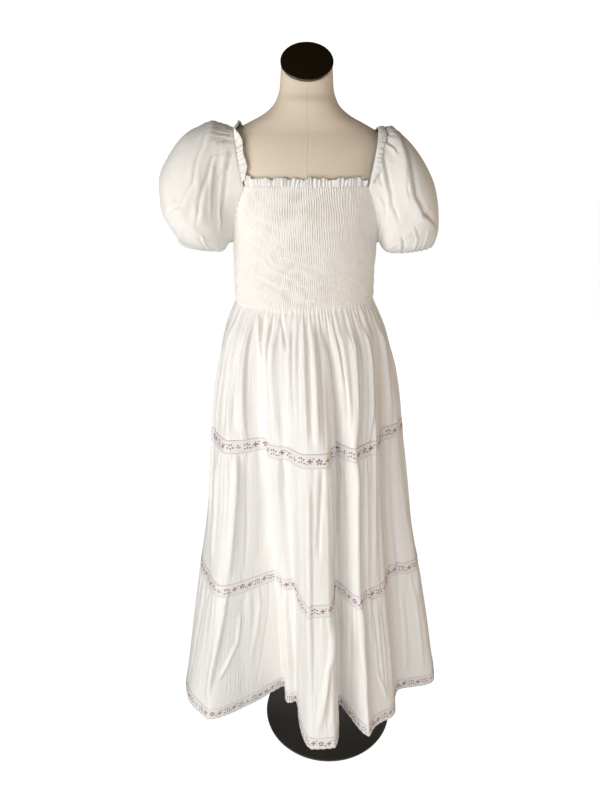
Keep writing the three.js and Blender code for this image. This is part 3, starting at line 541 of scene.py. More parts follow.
def cotton(name, colour, shade, crumple, crinkle):
    """Thin plain-weave cotton: a fine weave, soft crumples and long fine crinkles down the cloth as
    bumps, and a colour that drifts between two off-whites. It reads the flat cloth's own metres
    from the piece's map."""
    material, shader, node = new_material(name, colour, 0.9)
    shader.inputs["Sheen Weight"].default_value = 0.12
    shader.inputs["Sheen Roughness"].default_value = 0.4
    cloth = node("ShaderNodeUVMap", uv_map="cloth").outputs["UV"]
    threads = {"Vector": cloth, "Scale": 330.0, "Distortion": 0.6, "Detail": 1.0}
    warp = node("ShaderNodeTexWave", threads)
    weft = node("ShaderNodeTexWave", threads, bands_direction="Y")
    weave = node("ShaderNodeMath", {0: warp.outputs["Fac"], 1: weft.outputs["Fac"]}, operation="MULTIPLY")
    slub = node("ShaderNodeTexNoise", {"Vector": cloth, "Scale": 60.0, "Detail": 4.0, "Roughness": 0.6})
    crease = node("ShaderNodeTexNoise", {
        "Vector": cloth, "Scale": 21.0, "Detail": 4.0, "Roughness": 0.5, "Distortion": 0.8,
    })
    fine = node("ShaderNodeBump", {"Height": weave.outputs["Value"], "Strength": 0.12, "Distance": 0.0002})
    soft = node("ShaderNodeBump", {
        "Height": crease.outputs["Fac"], "Normal": fine.outputs["Normal"], "Strength": crumple,
        "Distance": 0.006,
    })
    length = node("ShaderNodeMapping", {"Vector": cloth, "Scale": (190, 11, 1)})
    pleat = node("ShaderNodeTexNoise", {
        "Vector": length.outputs["Vector"], "Scale": 1.0, "Detail": 2.0, "Distortion": 0.4,
    })
    pressed = node("ShaderNodeBump", {
        "Height": pleat.outputs["Fac"], "Normal": soft.outputs["Normal"], "Strength": crinkle,
        "Distance": 0.004,
    })
    last = node("ShaderNodeBump", {
        "Height": slub.outputs["Fac"], "Normal": pressed.outputs["Normal"], "Strength": 0.18,
        "Distance": 0.0012,
    })
    tint = node("ShaderNodeMix", {"Factor": slub.outputs["Fac"]}, data_type="RGBA")
    tint.inputs["A"].default_value = (*colour, 1)
    tint.inputs["B"].default_value = (*shade, 1)
    join(material, tint.outputs["Result"], shader.inputs["Base Color"])
    join(material, last.outputs["Normal"], shader.inputs["Normal"])
    return material


def map_cloth(piece, flat):
    """Gives a piece the map "cloth": each corner's place on the flat cloth, in metres, cell by
    cell in the order in which the grid's faces name their corners."""
    layer = piece.data.uv_layers.new(name="cloth")
    corners = np.stack([flat[:-1, :-1], flat[1:, :-1], flat[1:, 1:], flat[:-1, 1:]], 2)
    layer.data.foreach_set("uv", corners.astype(np.float32).ravel())


def thicken(piece, thickness):
    """Gives a surface its wall, inwards from the surface, with its edges closed."""
    wall = piece.modifiers.new("wall", "SOLIDIFY")
    wall.thickness = thickness
    wall.offset = -1
    wall.use_even_offset = True
    wall.use_rim = True


def flat_lengths(points):
    """Each point's place on the flat cloth in metres: the mean length along the rows, times its
    share of the row, and the length down the columns."""
    along = np.linalg.norm(np.diff(points, axis=1), axis=-1)
    down = np.linalg.norm(np.diff(points, axis=0), axis=-1).mean(1)
    u = np.concatenate([[0], np.cumsum(along.mean(0))])
    v = np.concatenate([[0], np.cumsum(down)])
    return np.stack(np.broadcast_arrays(u[None], -v[:, None]), -1) * 0.001


def lay_cloth(name, points, material, slot, nodes, wall, round_about=False, **sheet):
    """A sheet of cloth from its grid of points, with its wall in metres and its map of the flat cloth,
    which is measured on the grid. Round about, its last column joins its first."""
    faces = grid_faces(*points.shape[:2], round_about)
    piece = add_mesh(name, points, faces, material, nodes)
    closed = np.concatenate([points, points[:, :1]], 1) if round_about else points
    flat = flat_lengths(closed)
    map_cloth(piece, flat)
    if wall:
        thicken(piece, wall)
    return piece


tier_cotton = cotton("tier_cotton", (0.885, 0.87, 0.84), (0.865, 0.845, 0.805), 0.3, 0.4)
tier_grid = {1: (360, 60), 2: (360, 54), 3: (380, 54)}
tuck = 2.0  # how far a tier's edges reach under the bands and the bodice
tucked_in = -0.9  # how deep those edges lie under them
for half in half_start:
    for tier, (top, bottom) in tiers.items():
        columns, rows = tier_grid[tier]
        s = np.linspace(0.0003, 0.9997, columns)[None]
        z = np.linspace(top + tuck, bottom - tuck, rows)[:, None]
        under = tucked_in * ((z > top) | (z < bottom))
        points = skirt_points(half, s, z, under)
        name = f"tier_{tier}_{half}"
        lay_cloth(f"{name}_cloth", points, tier_cotton, "cotton", [name], None)

# The two insertion bands and the hem border: strips of closely woven cotton, 32 mm wide, with
# small flowers in satin stitch between two lines of silver-grey stitching. The border's lower edge
# is cut in fine scallops, and its stitching follows them.
band_cotton = cotton("band_cotton", (0.84, 0.80, 0.79), (0.80, 0.755, 0.745), 0.15, 0.2)
thread, shader, node = new_material("embroidery_thread", (0.4, 0.4, 0.5), 0.55)
shader.inputs["Sheen Weight"].default_value = 0.3
dyed = node("ShaderNodeAttribute", attribute_name="thread_colour").outputs["Color"]
place = node("ShaderNodeTexCoord").outputs["Object"]
strands = node("ShaderNodeTexWave", {"Vector": place, "Scale": 420.0, "Distortion": 2.0, "Detail": 1.0})
shine = node("ShaderNodeMapRange", {"Value": strands.outputs["Fac"], "To Min": 0.45, "To Max": 0.7})
bump = node("ShaderNodeBump", {"Height": strands.outputs["Fac"], "Strength": 0.5, "Distance": 0.0003})
join(thread, dyed, shader.inputs["Base Color"])
join(thread, shine.outputs["Result"], shader.inputs["Roughness"])
join(thread, bump.outputs["Normal"], shader.inputs["Normal"])

thread_colours = {
    "blue": (0.075, 0.075, 0.22), "pale": (0.15, 0.16, 0.36), "ochre": (0.42, 0.20, 0.03),
    "rust": (0.22, 0.07, 0.02), "green": (0.10, 0.10, 0.04), "grey": (0.10, 0.10, 0.14),
    "olive": (0.38, 0.28, 0.05), "silver": (0.60, 0.56, 0.55),
}
motifs = {
    # each stitched shape: its place across and up from the motif's middle, the way it points in
    # degrees, its length and width in mm, and its thread
    "ring flower": [
        (0, 4.6, 90, 6.2, 5.7, "blue"), (4.2, 1.5, 18, 6.2, 5.7, "pale"),
        (2.6, -3.6, -54, 6.2, 5.7, "blue"), (-2.6, -3.6, -126, 6.2, 5.7, "pale"),
        (-4.2, 1.5, 162, 6.2, 5.7, "blue"), (0, 0, 0, 3.5, 3.9, "ochre"),
        (9, -4.9, -25, 5.9, 3.3, "green"),
    ],
    "ochre flower": [
        (0, 3.8, 90, 6.5, 5.7, "ochre"), (3.6, 0, 0, 6.5, 5.7, "ochre"),
        (0, -3.8, -90, 6.5, 5.7, "ochre"), (-3.6, 0, 180, 6.5, 5.7, "ochre"), (0, 0, 0, 4.1, 4.5, "rust"),
        (6.8, 5.9, 40, 5.4, 3, "green"), (-6.8, -5.9, 215, 5.4, 3, "green"),
    ],
    "sprig": [
        (-4.4, 4.3, 120, 7.3, 4.2, "pale"), (0.8, 5.9, 80, 7.3, 4.2, "blue"),
        (5.7, 3.2, 40, 7.3, 4.2, "pale"), (0.8, -2.7, 80, 10.8, 2.4, "green"),
        (-5.2, -4.6, 200, 6.5, 3.9, "grey"), (6.5, -4.9, -20, 6.5, 3.9, "blue"),
    ],
    "cluster": [
        (-5.5, -2.2, 30, 6.2, 5.1, "grey"), (-1, 3.5, 75, 6.5, 5.1, "blue"),
        (4.4, 5.1, 10, 5.4, 4.5, "grey"), (1, -4.3, -70, 5.9, 4.8, "rust"),
        (6.5, -2.2, -35, 6.5, 4.8, "blue"), (-6.2, 5.9, 140, 5.4, 3.3, "green"),
    ],
    "bud": [
        (0, 2.2, 90, 5.9, 5.4, "olive"), (0, -3.5, -90, 6.5, 2.7, "green"),
        (3.4, -1.9, 20, 4.9, 3, "rust"), (-3.4, -1.4, 160, 4.9, 3, "olive"),
    ],
}
motif_order = [
    "ring flower", "ochre flower", "sprig", "ochre flower", "cluster", "bud", "sprig", "ochre flower",
]
motif_pitch = 18.5
scallop_pitch, scallop_depth = 14, 2.0
bands = {
    # the height of each one's upper and lower edge
    "band_1": (912, 880), "band_2": (552, 520), "hem_border": (202, 170),
}
band_out = 0.5  # how far the bands lie out from the tiers
band_wall = 0.0009  # in metres, as every wall below


def dye(piece, colours):
    """Gives each of a piece's points the colour that its thread is dyed in."""
    paint = piece.data.color_attributes.new("thread_colour", "FLOAT_COLOR", "POINT")
    paint.data.foreach_set("color", np.array(colours, np.float32).ravel())


def stitched_shapes(shapes):
    """The points (across, up, height), faces and colours of one motif. Each shape is an ellipse of
    six points that lie in the cloth, with a raised middle and a flat back."""
    sides = 6
    turn = np.radians(even_azimuths(sides))
    rim_height, middle_height = -0.25, 0.9
    points, faces, colours = [], [], []
    for across, up, angle, long, wide, colour in shapes:
        aim = math.radians(angle)
        x, y = long / 2 * np.cos(turn), wide / 2 * np.sin(turn)
        rim = np.stack([
            across + x * math.cos(aim) - y * math.sin(aim),
            up + x * math.sin(aim) + y * math.cos(aim),
            np.full(sides, rim_height),
        ], -1)
        first = len(points) * (sides + 1)
        points.append(np.vstack([rim, [(across, up, middle_height)]]))
        faces += [(first + i, first + (i + 1) % sides, first + sides) for i in range(sides)]
        faces.append(tuple(first + i for i in reversed(range(sides))))
        colours += [(*thread_colours[colour], 1)] * (sides + 1)
    return np.vstack(points), faces, colours


def band_height(band, along, share):
    """The height of a band's point, a share of the way down. The hem border's lower edge rises
    between its scallops, as the absolute value of a sine."""
    top, bottom = bands[band]
    depth = scallop_depth if band == "hem_border" else 0
    scallop = depth * (1 - np.abs(np.sin(np.pi * along / scallop_pitch)))
    return top - (top - bottom - scallop) * share


def add_flowers(band, half, length):
    """The flowers along a band, in one mesh: copies of the five motifs at an even pitch, in the
    order of the list, laid on the band by the skirt's own formula."""
    count = int(length / motif_pitch)
    starts = (np.arange(count) + 0.5) * length / count
    order = [motif_order[(i + len(half)) % len(motif_order)] for i in range(count)]
    points, faces, colours = [], [], []
    total = 0
    for kind, shapes in motifs.items():
        chosen = [i for i in range(count) if order[i] == kind]
        own_points, own_faces, own_colours = stitched_shapes(shapes)
        lift = 1.2 * np.sin(np.arange(count) * 1.9)[chosen]
        across = starts[chosen][:, None] + own_points[:, 0]
        up = sum(bands[band]) / 2 + lift[:, None] + own_points[:, 1]
        raised = np.broadcast_to(own_points[:, 2], across.shape) + band_out
        placed = skirt_points(half, across / length, up, raised).reshape(-1, 3)
        for copy in range(len(chosen)):
            first = total + copy * len(own_points)
            faces += [tuple(first + i for i in face) for face in own_faces]
        colours += own_colours * len(chosen)
        points.append(placed)
        total += len(placed)
    name = f"{band}_{half}_flowers"
    piece = add_mesh(name, np.vstack(points), faces, thread)
    dye(piece, colours)
    return piece


def add_edge_stitching(band, half, length):
    """Two lines of silver stitching, 0.7 mm wide and raised 0.3 mm, a little inside a band's edges:
    a closed section (place up, rise) carried along each line, which wanders as a sine."""
    columns = 420
    along = np.linspace(0.6, length - 0.6, columns)[None]
    section = [(-0.35, -0.2), (-0.25, 0.3), (0.25, 0.3), (0.35, -0.2), (-0.35, -0.2)]
    points, faces = [], []
    for line, share in enumerate((0.04, 0.96)):
        middle = band_height(band, along, share)
        wander = 0.25 * np.sin(along * 2.1)
        rows = [
            skirt_points(half, along / length, middle - up + wander, rise + band_out)
            for up, rise in section
        ]
        first = line * len(section) * columns
        points.append(np.concatenate(rows).reshape(-1, 3))
        faces += (np.array(grid_faces(len(section), columns)) + first).tolist()
    name = f"{band}_{half}_edge_stitching"
    piece = add_mesh(name, np.vstack(points), faces, thread)
    dye(piece, [(*thread_colours["silver"], 1)] * len(piece.data.vertices))
    return piece


for half in half_start:
    for band, (top, bottom) in bands.items():
        columns = 640 if band == "hem_border" else 400
        length = half_length(half, (top + bottom) / 2)
        along = np.linspace(0.0003, 0.9997, columns)[None] * length
        z = band_height(band, along, np.linspace(0, 1, 8)[:, None])
        points = skirt_points(half, along / length, z, band_out)
        name = f"{band}_{half}"
        trims = [add_flowers(band, half, length), add_edge_stitching(band, half, length)]
        lay_cloth(
            f"{name}_strip", points, band_cotton, "embroidered_cotton", [name], band_wall,
            with_pieces=trims,
        )

# The bodice: two panels cut twice as wide as they end up and shirred with rows of elastic thread,
# so that the cotton stands in close, uneven upright puckers that are pinched at each row.
neckline = {"front": 1417, "back": 1408}
underarm = 1303
front_corner, back_corner = 56.5, 123.5  # the azimuths of the neckline's corners
bodice_out = 3.2  # how far the cloth lies from the form
bodice_height = 226
bodice_arc = 2.48  # millimetres along the bodice for each degree
elastic_rows = 34


def bodice_top(azimuth):
    """The height of the bodice's top edge: level at the neckline, and falling towards the
    underarm with the power 1.8 of the distance from the side."""
    turned = np.where(azimuth > 180, azimuth - 360, azimuth)
    from_side = np.clip(np.abs(np.abs(turned) - 90) / (90 - front_corner), 0, 1)
    neck = np.where(np.abs(turned) < 90, neckline["front"], neckline["back"])
    return underarm + (neck - underarm) * from_side ** 1.8


def bodice_points(azimuth, share, out=0.0):
    """Points of the bodice between its puckers, a share of the way up from the waist seam."""
    bottom = waist_height - seam_drop(azimuth)
    z = bottom + (bodice_top(azimuth) - bottom) * share
    return form_points(azimuth, z, bodice_out + out)


def pucker_out(azimuth, share, half):
    """How far the puckers stand out. Three sets of nearly upright waves, 5 to 6 mm apart and
    leaning a few degrees to either side, are added: they strengthen each other in short upright
    ridges that break off and fork. Sums of sines make them wander, near the waist they are drawn
    to and fro, the rows of elastic pinch them, and at last they run into the skirt's gathers."""
    x = (azimuth - half_start[half]) * bodice_arc
    y = share * bodice_height
    wander = 1.6 * np.sin(y / 38 + x / 53) + 0.8 * np.sin(y / 17 - x / 29 + 1.3)
    wander = wander + 0.45 * np.sin(y / 7.3 + x / 11.7) + 0.25 * np.sin(y / 4.3 - x / 6.9)
    middle = 238
    x = x + 13 * ease(1 - y / 125) * np.sin((x - middle) / 85)
    turn = 2 * np.pi
    first = np.cos(turn * (x + wander + 0.10 * y) / 5.5)
    second = np.cos(turn * (x - 0.7 * wander - 0.12 * y) / 5.9 + 2 * np.sin(x / 37))
    third = np.cos(turn * (x + 1.4 * wander * np.sin(x / 61)) / 5.1 + 1.5 * np.sin(y / 29))
    puckers = 1.0 * first + 0.6 * second + 0.5 * third
    elastic = elastic_rows * share + 0.12 * np.sin(x / 21) + 0.06 * np.sin(x / 5)
    pinch = 1 - 0.35 * np.cos(np.pi * elastic) ** 6
    heading = 1 - 0.6 * ease((share - 0.955) / 0.02) * ease((0.99 - share) / 0.02)
    billow = 0.35 * np.sin(x / 37 + y / 50) + 0.25 * np.sin(x / 16 - y / 33)
    samples, shares, _ = half_runs[half]
    gathers = waist_gathers(np.interp(azimuth, samples, shares[3]), half) + 0.3
    blend = ease(1 - y / 14)
    return (puckers * pinch * heading + billow + 1.4) * (1 - blend) + gathers * blend


smocked_cotton = cotton("smocked_cotton", (0.885, 0.855, 0.81), (0.86, 0.82, 0.765), 0.2, 0.15)
for half, start in half_start.items():
    columns, rows = 520, 120
    azimuth = start + np.linspace(0.06, 179.94, columns)[None]
    share = np.linspace(1, 0, rows)[:, None]
    points = bodice_points(azimuth, share, pucker_out(azimuth, share, half))
    name = f"bodice_{half}"
    lay_cloth(
        f"{name}_smocking", points, smocked_cotton, "smocked_cotton", [name], None,
        rests_on=["torso_cover"],
    )

# The neck ruffle: the bodice's own heading, left free above the first row of elastic. It stands
# 17 mm high in close, uneven waves that open upwards, lean to and fro and end at uneven heights.
ruffle_half_width = 56.1  # in degrees of azimuth, just inside the neckline's corners
hidden = 0.16  # the share of its height that it reaches down behind the bodice's edge
ruffle_wall = 0.0005
ruffle_arc, ruffle_pitch = 2.3, 8.3  # millimetres for each degree, and for each wave
for half, middle in (("front", 0), ("back", 180)):
    columns, rows = 460, 11
    azimuth = middle + np.linspace(-ruffle_half_width, ruffle_half_width, columns)[None]
    up = np.linspace(1, -hidden, rows)[:, None]
    free = np.clip(up, 0, 1)
    x = (azimuth - middle) * ruffle_arc
    leaning = (1.6 * np.sin(x / 19) + 1.1 * np.sin(x / 8.3 + 1)) * free
    turns = (x + leaning) / ruffle_pitch + 0.45 * np.sin(x / 17)
    turns = turns + 0.35 * np.sin(x / 7.3) + 0.15 * np.sin(x / 4.1)
    strength = 1 + 0.4 * np.sin(x / 13) + 0.25 * np.sin(x / 4.7)
    wave = (crest(turns) + 0.25) * (1.2 + 6.0 * free ** 0.8) * strength
    height = 15.2 + 1.7 * np.sin(x / 5.3) + 1.1 * np.sin(x / 11.7) + 1.1 * np.sin(x / 2.9)
    lean_out = 0.6 + 1.1 * np.sin(x / 23) + 0.8 * np.sin(x / 9)
    out = bodice_out + 0.2 + lean_out * free + wave - 1.3 * np.clip(-up / hidden, 0, 1)
    points = form_points(azimuth, neckline[half] + up * height, out)
    name = f"neck_ruffle_{half}"
    lay_cloth(f"{name}_cloth", points, tier_cotton, "cotton", [name], ruffle_wall)

# The sleeves: one full piece of cotton each, gathered into a heading over the shoulder and into a
# cuff below, so that it stands out as a soft, crumpled puff.
sleeve_rows = {
    "left": np.array([
        # ring, x and z of its outer side, x and z of its inner side, half its depth
        (1, -170, 1533, -152, 1304, 84), (2, -217, 1514, -155, 1301, 97),
        (3, -255, 1476, -158, 1298, 104), (4, -278, 1433, -161, 1295, 105),
        (5, -281, 1388, -164, 1293, 99), (6, -268, 1350, -168, 1291.5, 87),
        (7, -256, 1325, -172.5, 1291, 69), (8, -251, 1308, -177, 1293.5, 51),
        (9, -240, 1315, -181, 1308, 35),
    ]),
    "right": np.array([
        (1, 172, 1517, 155, 1300, 84), (2, 206, 1489, 157, 1296, 97),
        (3, 236, 1452, 160, 1292, 103), (4, 258, 1410, 163, 1289, 103),
        (5, 268, 1367, 166, 1287, 97), (6, 272, 1328, 169, 1284, 86),
        (7, 268, 1304, 175, 1281.5, 69), (8, 261, 1292, 181, 1283, 51),
        (9, 252, 1309, 190, 1297, 34),
    ]),
}
outward = {"left": -1, "right": 1}
shoulder_top = (138, 1517)  # how far the sleeve's heading reaches up over the shoulder: x and z
heading_folds, cuff_folds = 40, 26  # how many gathers run round the upper and the lower end
heading_height = 5.5
cuff_heights = {"left": 0.8, "right": 2.0}  # how high the gathers above each cuff stand
sleeve_wall = 0.0006
sleeve_creases = {
    # turns and rings that the crease runs through, then its reach in mm and its height on the
    # side towards -X at the front, and the same on the other side
    "left": [
        ([50, 30, 10, 353, 345], [0.5, 0.8, 1.5, 2.8, 4], 28, -5, 18, -4),
        ([70, 40, 12, 10, 45], [1.0, 1.4, 2.3, 3.6, 5.6], 26, -5, 18, -3),
        ([60, 48, 40, 35], [0.1, 0.5, 0.9, 1.4], 6, 4, 4, -3),
        ([80, 72, 66], [0.1, 0.5, 1.0], 6, 4, 4, -3), ([30, 14, 2], [0.1, 0.6, 1.2], 7, 4, 5, -3),
        ([96, 92, 84], [0.1, 0.7, 1.6], 8, 4, 6, -3), ([320, 330, 340], [6.5, 5.2, 4.0], 9, 3, 8, -3),
        ([20, 14, 6], [7, 5.8, 4.6], 9, 3, 8, -3),
        ([38, 20, 350, 330, 318], [0.15, 0.5, 0.85, 1.2, 1.6], 10, 4, 9, -5),
        ([58, 30, 8, 350, 335], [0.2, 0.75, 1.15, 1.6, 2.2], 9, 3, 8, -4),
        ([150, 165, 178, 190], [0.5, 1.2, 2.2, 3.5], 22, -6, 16, -5),
        ([118, 140, 160, 165], [1.0, 2.0, 3.4, 5.4], 18, -6, 16, -6),
        ([130, 140, 150], [0.1, 0.7, 1.4], 7, 4, 5, -3), ([215, 205, 195], [6.5, 5, 4], 9, 3, 8, -3),
    ],
    "right": [
        ([82, 62, 43, 25, 15, 15, 30, 50], [0.9, 1.4, 1.9, 2.4, 2.9, 4.1, 5.0, 5.8], 12, 8, 32, -8),
        ([30, 24, 3, -11, -24], [0.1, 0.4, 0.8, 1.3, 3.0], 11, 7, 9, -6),
        ([62, 46, 34], [0.2, 0.5, 1.4], 8, 4, 7, -5),
        ([58, 35, 12, 2], [1.2, 1.8, 2.2, 3.0], 6, 3, 5, -3),
        ([-4, -15, -40, -70], [0.3, 0.8, 0.8, 0.5], 8, 4, 8, -5),
        ([72, 60, 52], [0.1, 0.5, 1.0], 6, 4, 5, -3), ([84, 76, 68], [0.1, 0.6, 1.2], 6, 4, 5, -3),
        ([96, 92, 88], [0.1, 0.9, 1.8], 7, 4, 6, -3), ([14, 2, -4], [0.1, 0.5, 1.2], 6, 3, 5, -3),
        ([-28, -30, -34], [3.4, 5.0, 6.6], 9, 4, 8, -4), ([-4, 0, -6], [4.0, 5.4, 6.8], 7, 4, 6, -4),
        ([22, 14, 10], [5.0, 6.2, 7.2], 6, 4, 6, -3), ([40, 30, 22], [5.6, 6.6, 7.4], 6, 4, 6, -3),
        ([150, 165, 178, 190], [0.5, 1.2, 2.2, 3.5], 20, -6, 14, -5),
        ([118, 140, 160, 165], [1.0, 2.0, 3.4, 5.4], 16, -6, 14, -6),
        ([205, 200, 190], [6.5, 5, 4], 9, 3, 8, -3), ([130, 140, 150], [0.1, 0.7, 1.4], 7, 4, 5, -3),
    ],
}


def rounded(value, power):
    """A sine or cosine raised to a power with its sign kept, which squares or rounds a ring. A
    small part of the root is smoothed, so that no line shows where the value is nought."""
    return value * (value ** 2 + 0.01) ** ((power - 1) / 2)


def head_points(side, turn, tucked=0.0):
    """The sleeve's top ring: turn is 0 at the front corner of the neckline, 90 over the shoulder,
    180 at the back corner and 270 under the arm. Its lower half follows the bodice's top edge."""
    sign = outward[side]
    sin, cos = np.sin(np.radians(turn)), np.cos(np.radians(turn))

    def edge(azimuth, tilt):
        """A point of the bodice's top edge, moved out over it and, where tucked, back under."""
        out = bodice_out + 1.8 + 1.6 * np.abs(tilt) - tucked
        return form_points(sign * azimuth, bodice_top(azimuth) - 1.2 - tucked, out)

    forward = np.clip((turn - 180) / 180, 0, 1)
    low = edge(back_corner - (back_corner - front_corner) * forward, cos)
    along = ((1 - rounded(cos, 0.8)) / 2)[..., None]
    front, back = edge(np.array(front_corner), cos), edge(np.array(back_corner), cos)
    high = front * (1 - along) + back * along
    shoulder = lean(np.array([sign * shoulder_top[0], 0.0, shoulder_top[1]]))
    peak = np.broadcast_to(shoulder, high.shape).copy()
    peak[..., 1] = high[..., 1]
    rise = np.clip(sin, 0, 1)[..., None] ** 0.8
    return np.where(sin[..., None] < 0, low, high + (peak - high) * rise)


def sleeve_points(side, turn, ring):
    """Points of the puff at a turn in degrees and a ring: each ring is upright, squarer than an
    ellipse with the power 0.9, and the first part runs from the head to ring 1. The head's corner
    softens along it, as the mean of points up to 16 degrees to either side."""
    turn, ring = np.broadcast_arrays(np.mod(turn, 360.0), ring)
    sin, cos = np.sin(np.radians(turn)), np.cos(np.radians(turn))
    outer_x, outer_z, inner_x, inner_z, depth = (
        through_rows(sleeve_rows[side], column, ring) for column in range(1, 6)
    )
    across = (1 + rounded(sin, 0.9)) / 2
    x = inner_x + (outer_x - inner_x) * across
    z = inner_z + (outer_z - inner_z) * across
    points = np.stack([x, -rounded(cos, 0.9) * depth, z], -1)
    share = np.clip(ring, 0, 1)[..., None]
    spread = 16 * np.sqrt(share[..., 0])
    turns = [np.mod(turn + spread * part, 360) for part in (-1, -0.5, 0, 0.5, 1)]
    head = sum(head_points(side, near) for near in turns) / len(turns)
    return np.where(ring[..., None] < 1, head + (points - head) * share, points)


def surface_normals(points):
    """The outward normal at each point of a closed ring grid, from its neighbours along the rows
    and down the columns."""
    wide = np.concatenate([points[:, -1:], points, points[:, :1]], 1)
    along = np.gradient(wide, axis=1)[:, 1:-1]
    down = np.gradient(points, axis=0)
    normal = np.cross(down, along)
    return normal / np.linalg.norm(normal, axis=-1, keepdims=True)


def crease_along(points, normal, path, left, left_height, right, right_height):
    """A crease along a path over a surface. Square to the path its height rises quickly from
    nought to each side's own height and falls off as a cosine wave over that side's reach, so
    that unlike sides meet in a crisp line. It fades out towards both ends of the path."""
    tangent = np.gradient(path, axis=0)
    tangent /= np.linalg.norm(tangent, axis=-1, keepdims=True)
    apart = points.reshape(-1, 1, 3) - path[None]
    nearest = np.argmin(np.einsum("ijk,ijk->ij", apart, apart), axis=1)
    offset = apart[np.arange(len(nearest)), nearest]
    tangent = tangent[nearest]
    past = np.einsum("ij,ij->i", tangent, offset)
    offset = offset - past[:, None] * tangent
    away = np.linalg.norm(offset, axis=-1)
    side = np.einsum("ij,ij->i", np.cross(tangent, offset), normal.reshape(-1, 3))
    reach = np.where(side < 0, left, right)
    height = np.where(side < 0, left_height, right_height) * ease(away / (0.2 * reach + 1))
    share = nearest / (len(path) - 1)
    fade = ease(share * 5) * ease((1 - share) * 4) * ease(1.5 - np.abs(past) / 6)
    raised = height * fade * (1 + np.cos(np.pi * np.clip(away / reach, 0, 1))) / 2
    return raised.reshape(points.shape[:2])


sleeve_cotton = cotton("sleeve_cotton", (0.88, 0.86, 0.82), (0.86, 0.835, 0.785), 0.4, 0.1)
for side in outward:
    columns, rows = 200, 92
    turn = -90 - outward[side] * even_azimuths(columns)[None]  # its own seam is under the arm
    ring = np.linspace(0, len(sleeve_rows[side]), rows)[:, None]
    smooth = sleeve_points(side, turn, ring)
    normal = surface_normals(smooth)
    shoulder = np.clip(np.sin(np.radians(turn)), 0, 1)
    spread = turn + 5 * np.sin(np.radians(turn * 5)) + 3 * np.sin(ring * 2)
    top_height = shoulder * ease(ring / 0.35) * np.exp(-ring / 0.5) * heading_height
    top = top_height * crest(spread * heading_folds / 360)
    low_height = cuff_heights[side] * ease((ring - 6.2) / 1.2) * (1 - 0.6 * ease(ring - 8))
    low = low_height * crest(spread * cuff_folds / 360)
    soft = 2.0 * np.sin(np.radians(turn * 3 + ring * 30)) * ease(ring / 2) * ease((8 - ring) / 2)
    raised = top + low + soft
    for turns, rings, *reaches in sleeve_creases[side]:
        run = np.linspace(0, len(turns) - 1, 70)
        path_turn = np.interp(run, np.arange(len(turns)), np.rad2deg(np.unwrap(np.radians(turns))))
        path = sleeve_points(side, path_turn, np.interp(run, np.arange(len(rings)), rings))
        raised = raised + crease_along(smooth, normal, path, *reaches)
    points = smooth + normal * raised[..., None]
    tucked = head_points(side, np.mod(turn, 360.0), 3.2)
    points = np.concatenate([tucked, points])
    name = f"sleeve_{side}"
    lay_cloth(f"{name}_puff", points, sleeve_cotton, "cotton", [name], sleeve_wall, round_about=True)

# The shoulder ruffles: the free heading along each sleeve's neck edge, in fine uneven waves. The
# left one stands up and twists over the neck's side; the right one is folded out on the sleeve.
ruffle_turns = (2.5, 172)
columns, rows = 240, 9
turn = np.linspace(*ruffle_turns, columns)[None]
up = np.linspace(1, -0.1, rows)[:, None]
free = np.clip(up, 0, 1)
waves = crest(turn / 5.1 + 0.4 * np.sin(turn / 11) + 0.3 * np.sin(turn / 4.3)) + 0.2
taper = 0.45 + 0.55 * ease((turn - ruffle_turns[0]) / 14)  # towards the neckline's corner

# the left one rises from the sleeve's head, between straight up from the underarm and inwards
start = head_points("left", turn)
along = np.gradient(start, axis=1)
along /= np.linalg.norm(along, axis=-1, keepdims=True)
away = np.stack([0 * turn, start[..., 1], start[..., 2] - underarm], -1)
away /= np.linalg.norm(away, axis=-1, keepdims=True)
twist = (0.5 + 0.3 * np.sin(turn / 13) + 0.12 * np.sin(turn / 5))[..., None]
rise = away * (1 - twist) + np.array([1.0, 0, 0]) * twist
rise /= np.linalg.norm(rise, axis=-1, keepdims=True)
across = np.cross(rise, along)
across /= np.linalg.norm(across, axis=-1, keepdims=True)
reach = 14.5 * taper * (1 + 0.10 * np.sin(turn / 6) + 0.10 * waves)
points = start + np.array([0.9, 0, 0]) + rise * (up * reach)[..., None]
points = points + across * (waves * (1.0 + 3.4 * free))[..., None]
lay_cloth(
    "shoulder_ruffle_left_cloth", points[:, ::-1], tier_cotton, "cotton",
    ["shoulder_ruffle_left"], sleeve_wall,
)

# the right one lies along the way from the sleeve's head to its first ring, a little off it
head = head_points("right", turn)
first_ring = sleeve_points("right", turn, 1.0)
slope = np.linalg.norm(first_ring - head, axis=-1)
onward = (first_ring - head) / slope[..., None]
along = np.gradient(head, axis=1)
square = np.cross(onward, along)
square /= np.linalg.norm(square, axis=-1, keepdims=True)
reach = 12.5 * taper * (1 + 0.12 * np.sin(turn / 7) + 0.08 * waves)
lift = 1.6 + 2.6 * np.sin(np.pi * np.clip(up, 0, 1) ** 0.7) + waves * 2.4 * free
points = head + onward * (up * reach)[..., None] + square * lift[..., None]
lay_cloth(
    "shoulder_ruffle_right_cloth", points, tier_cotton, "cotton",
    ["shoulder_ruffle_right"], sleeve_wall,
)

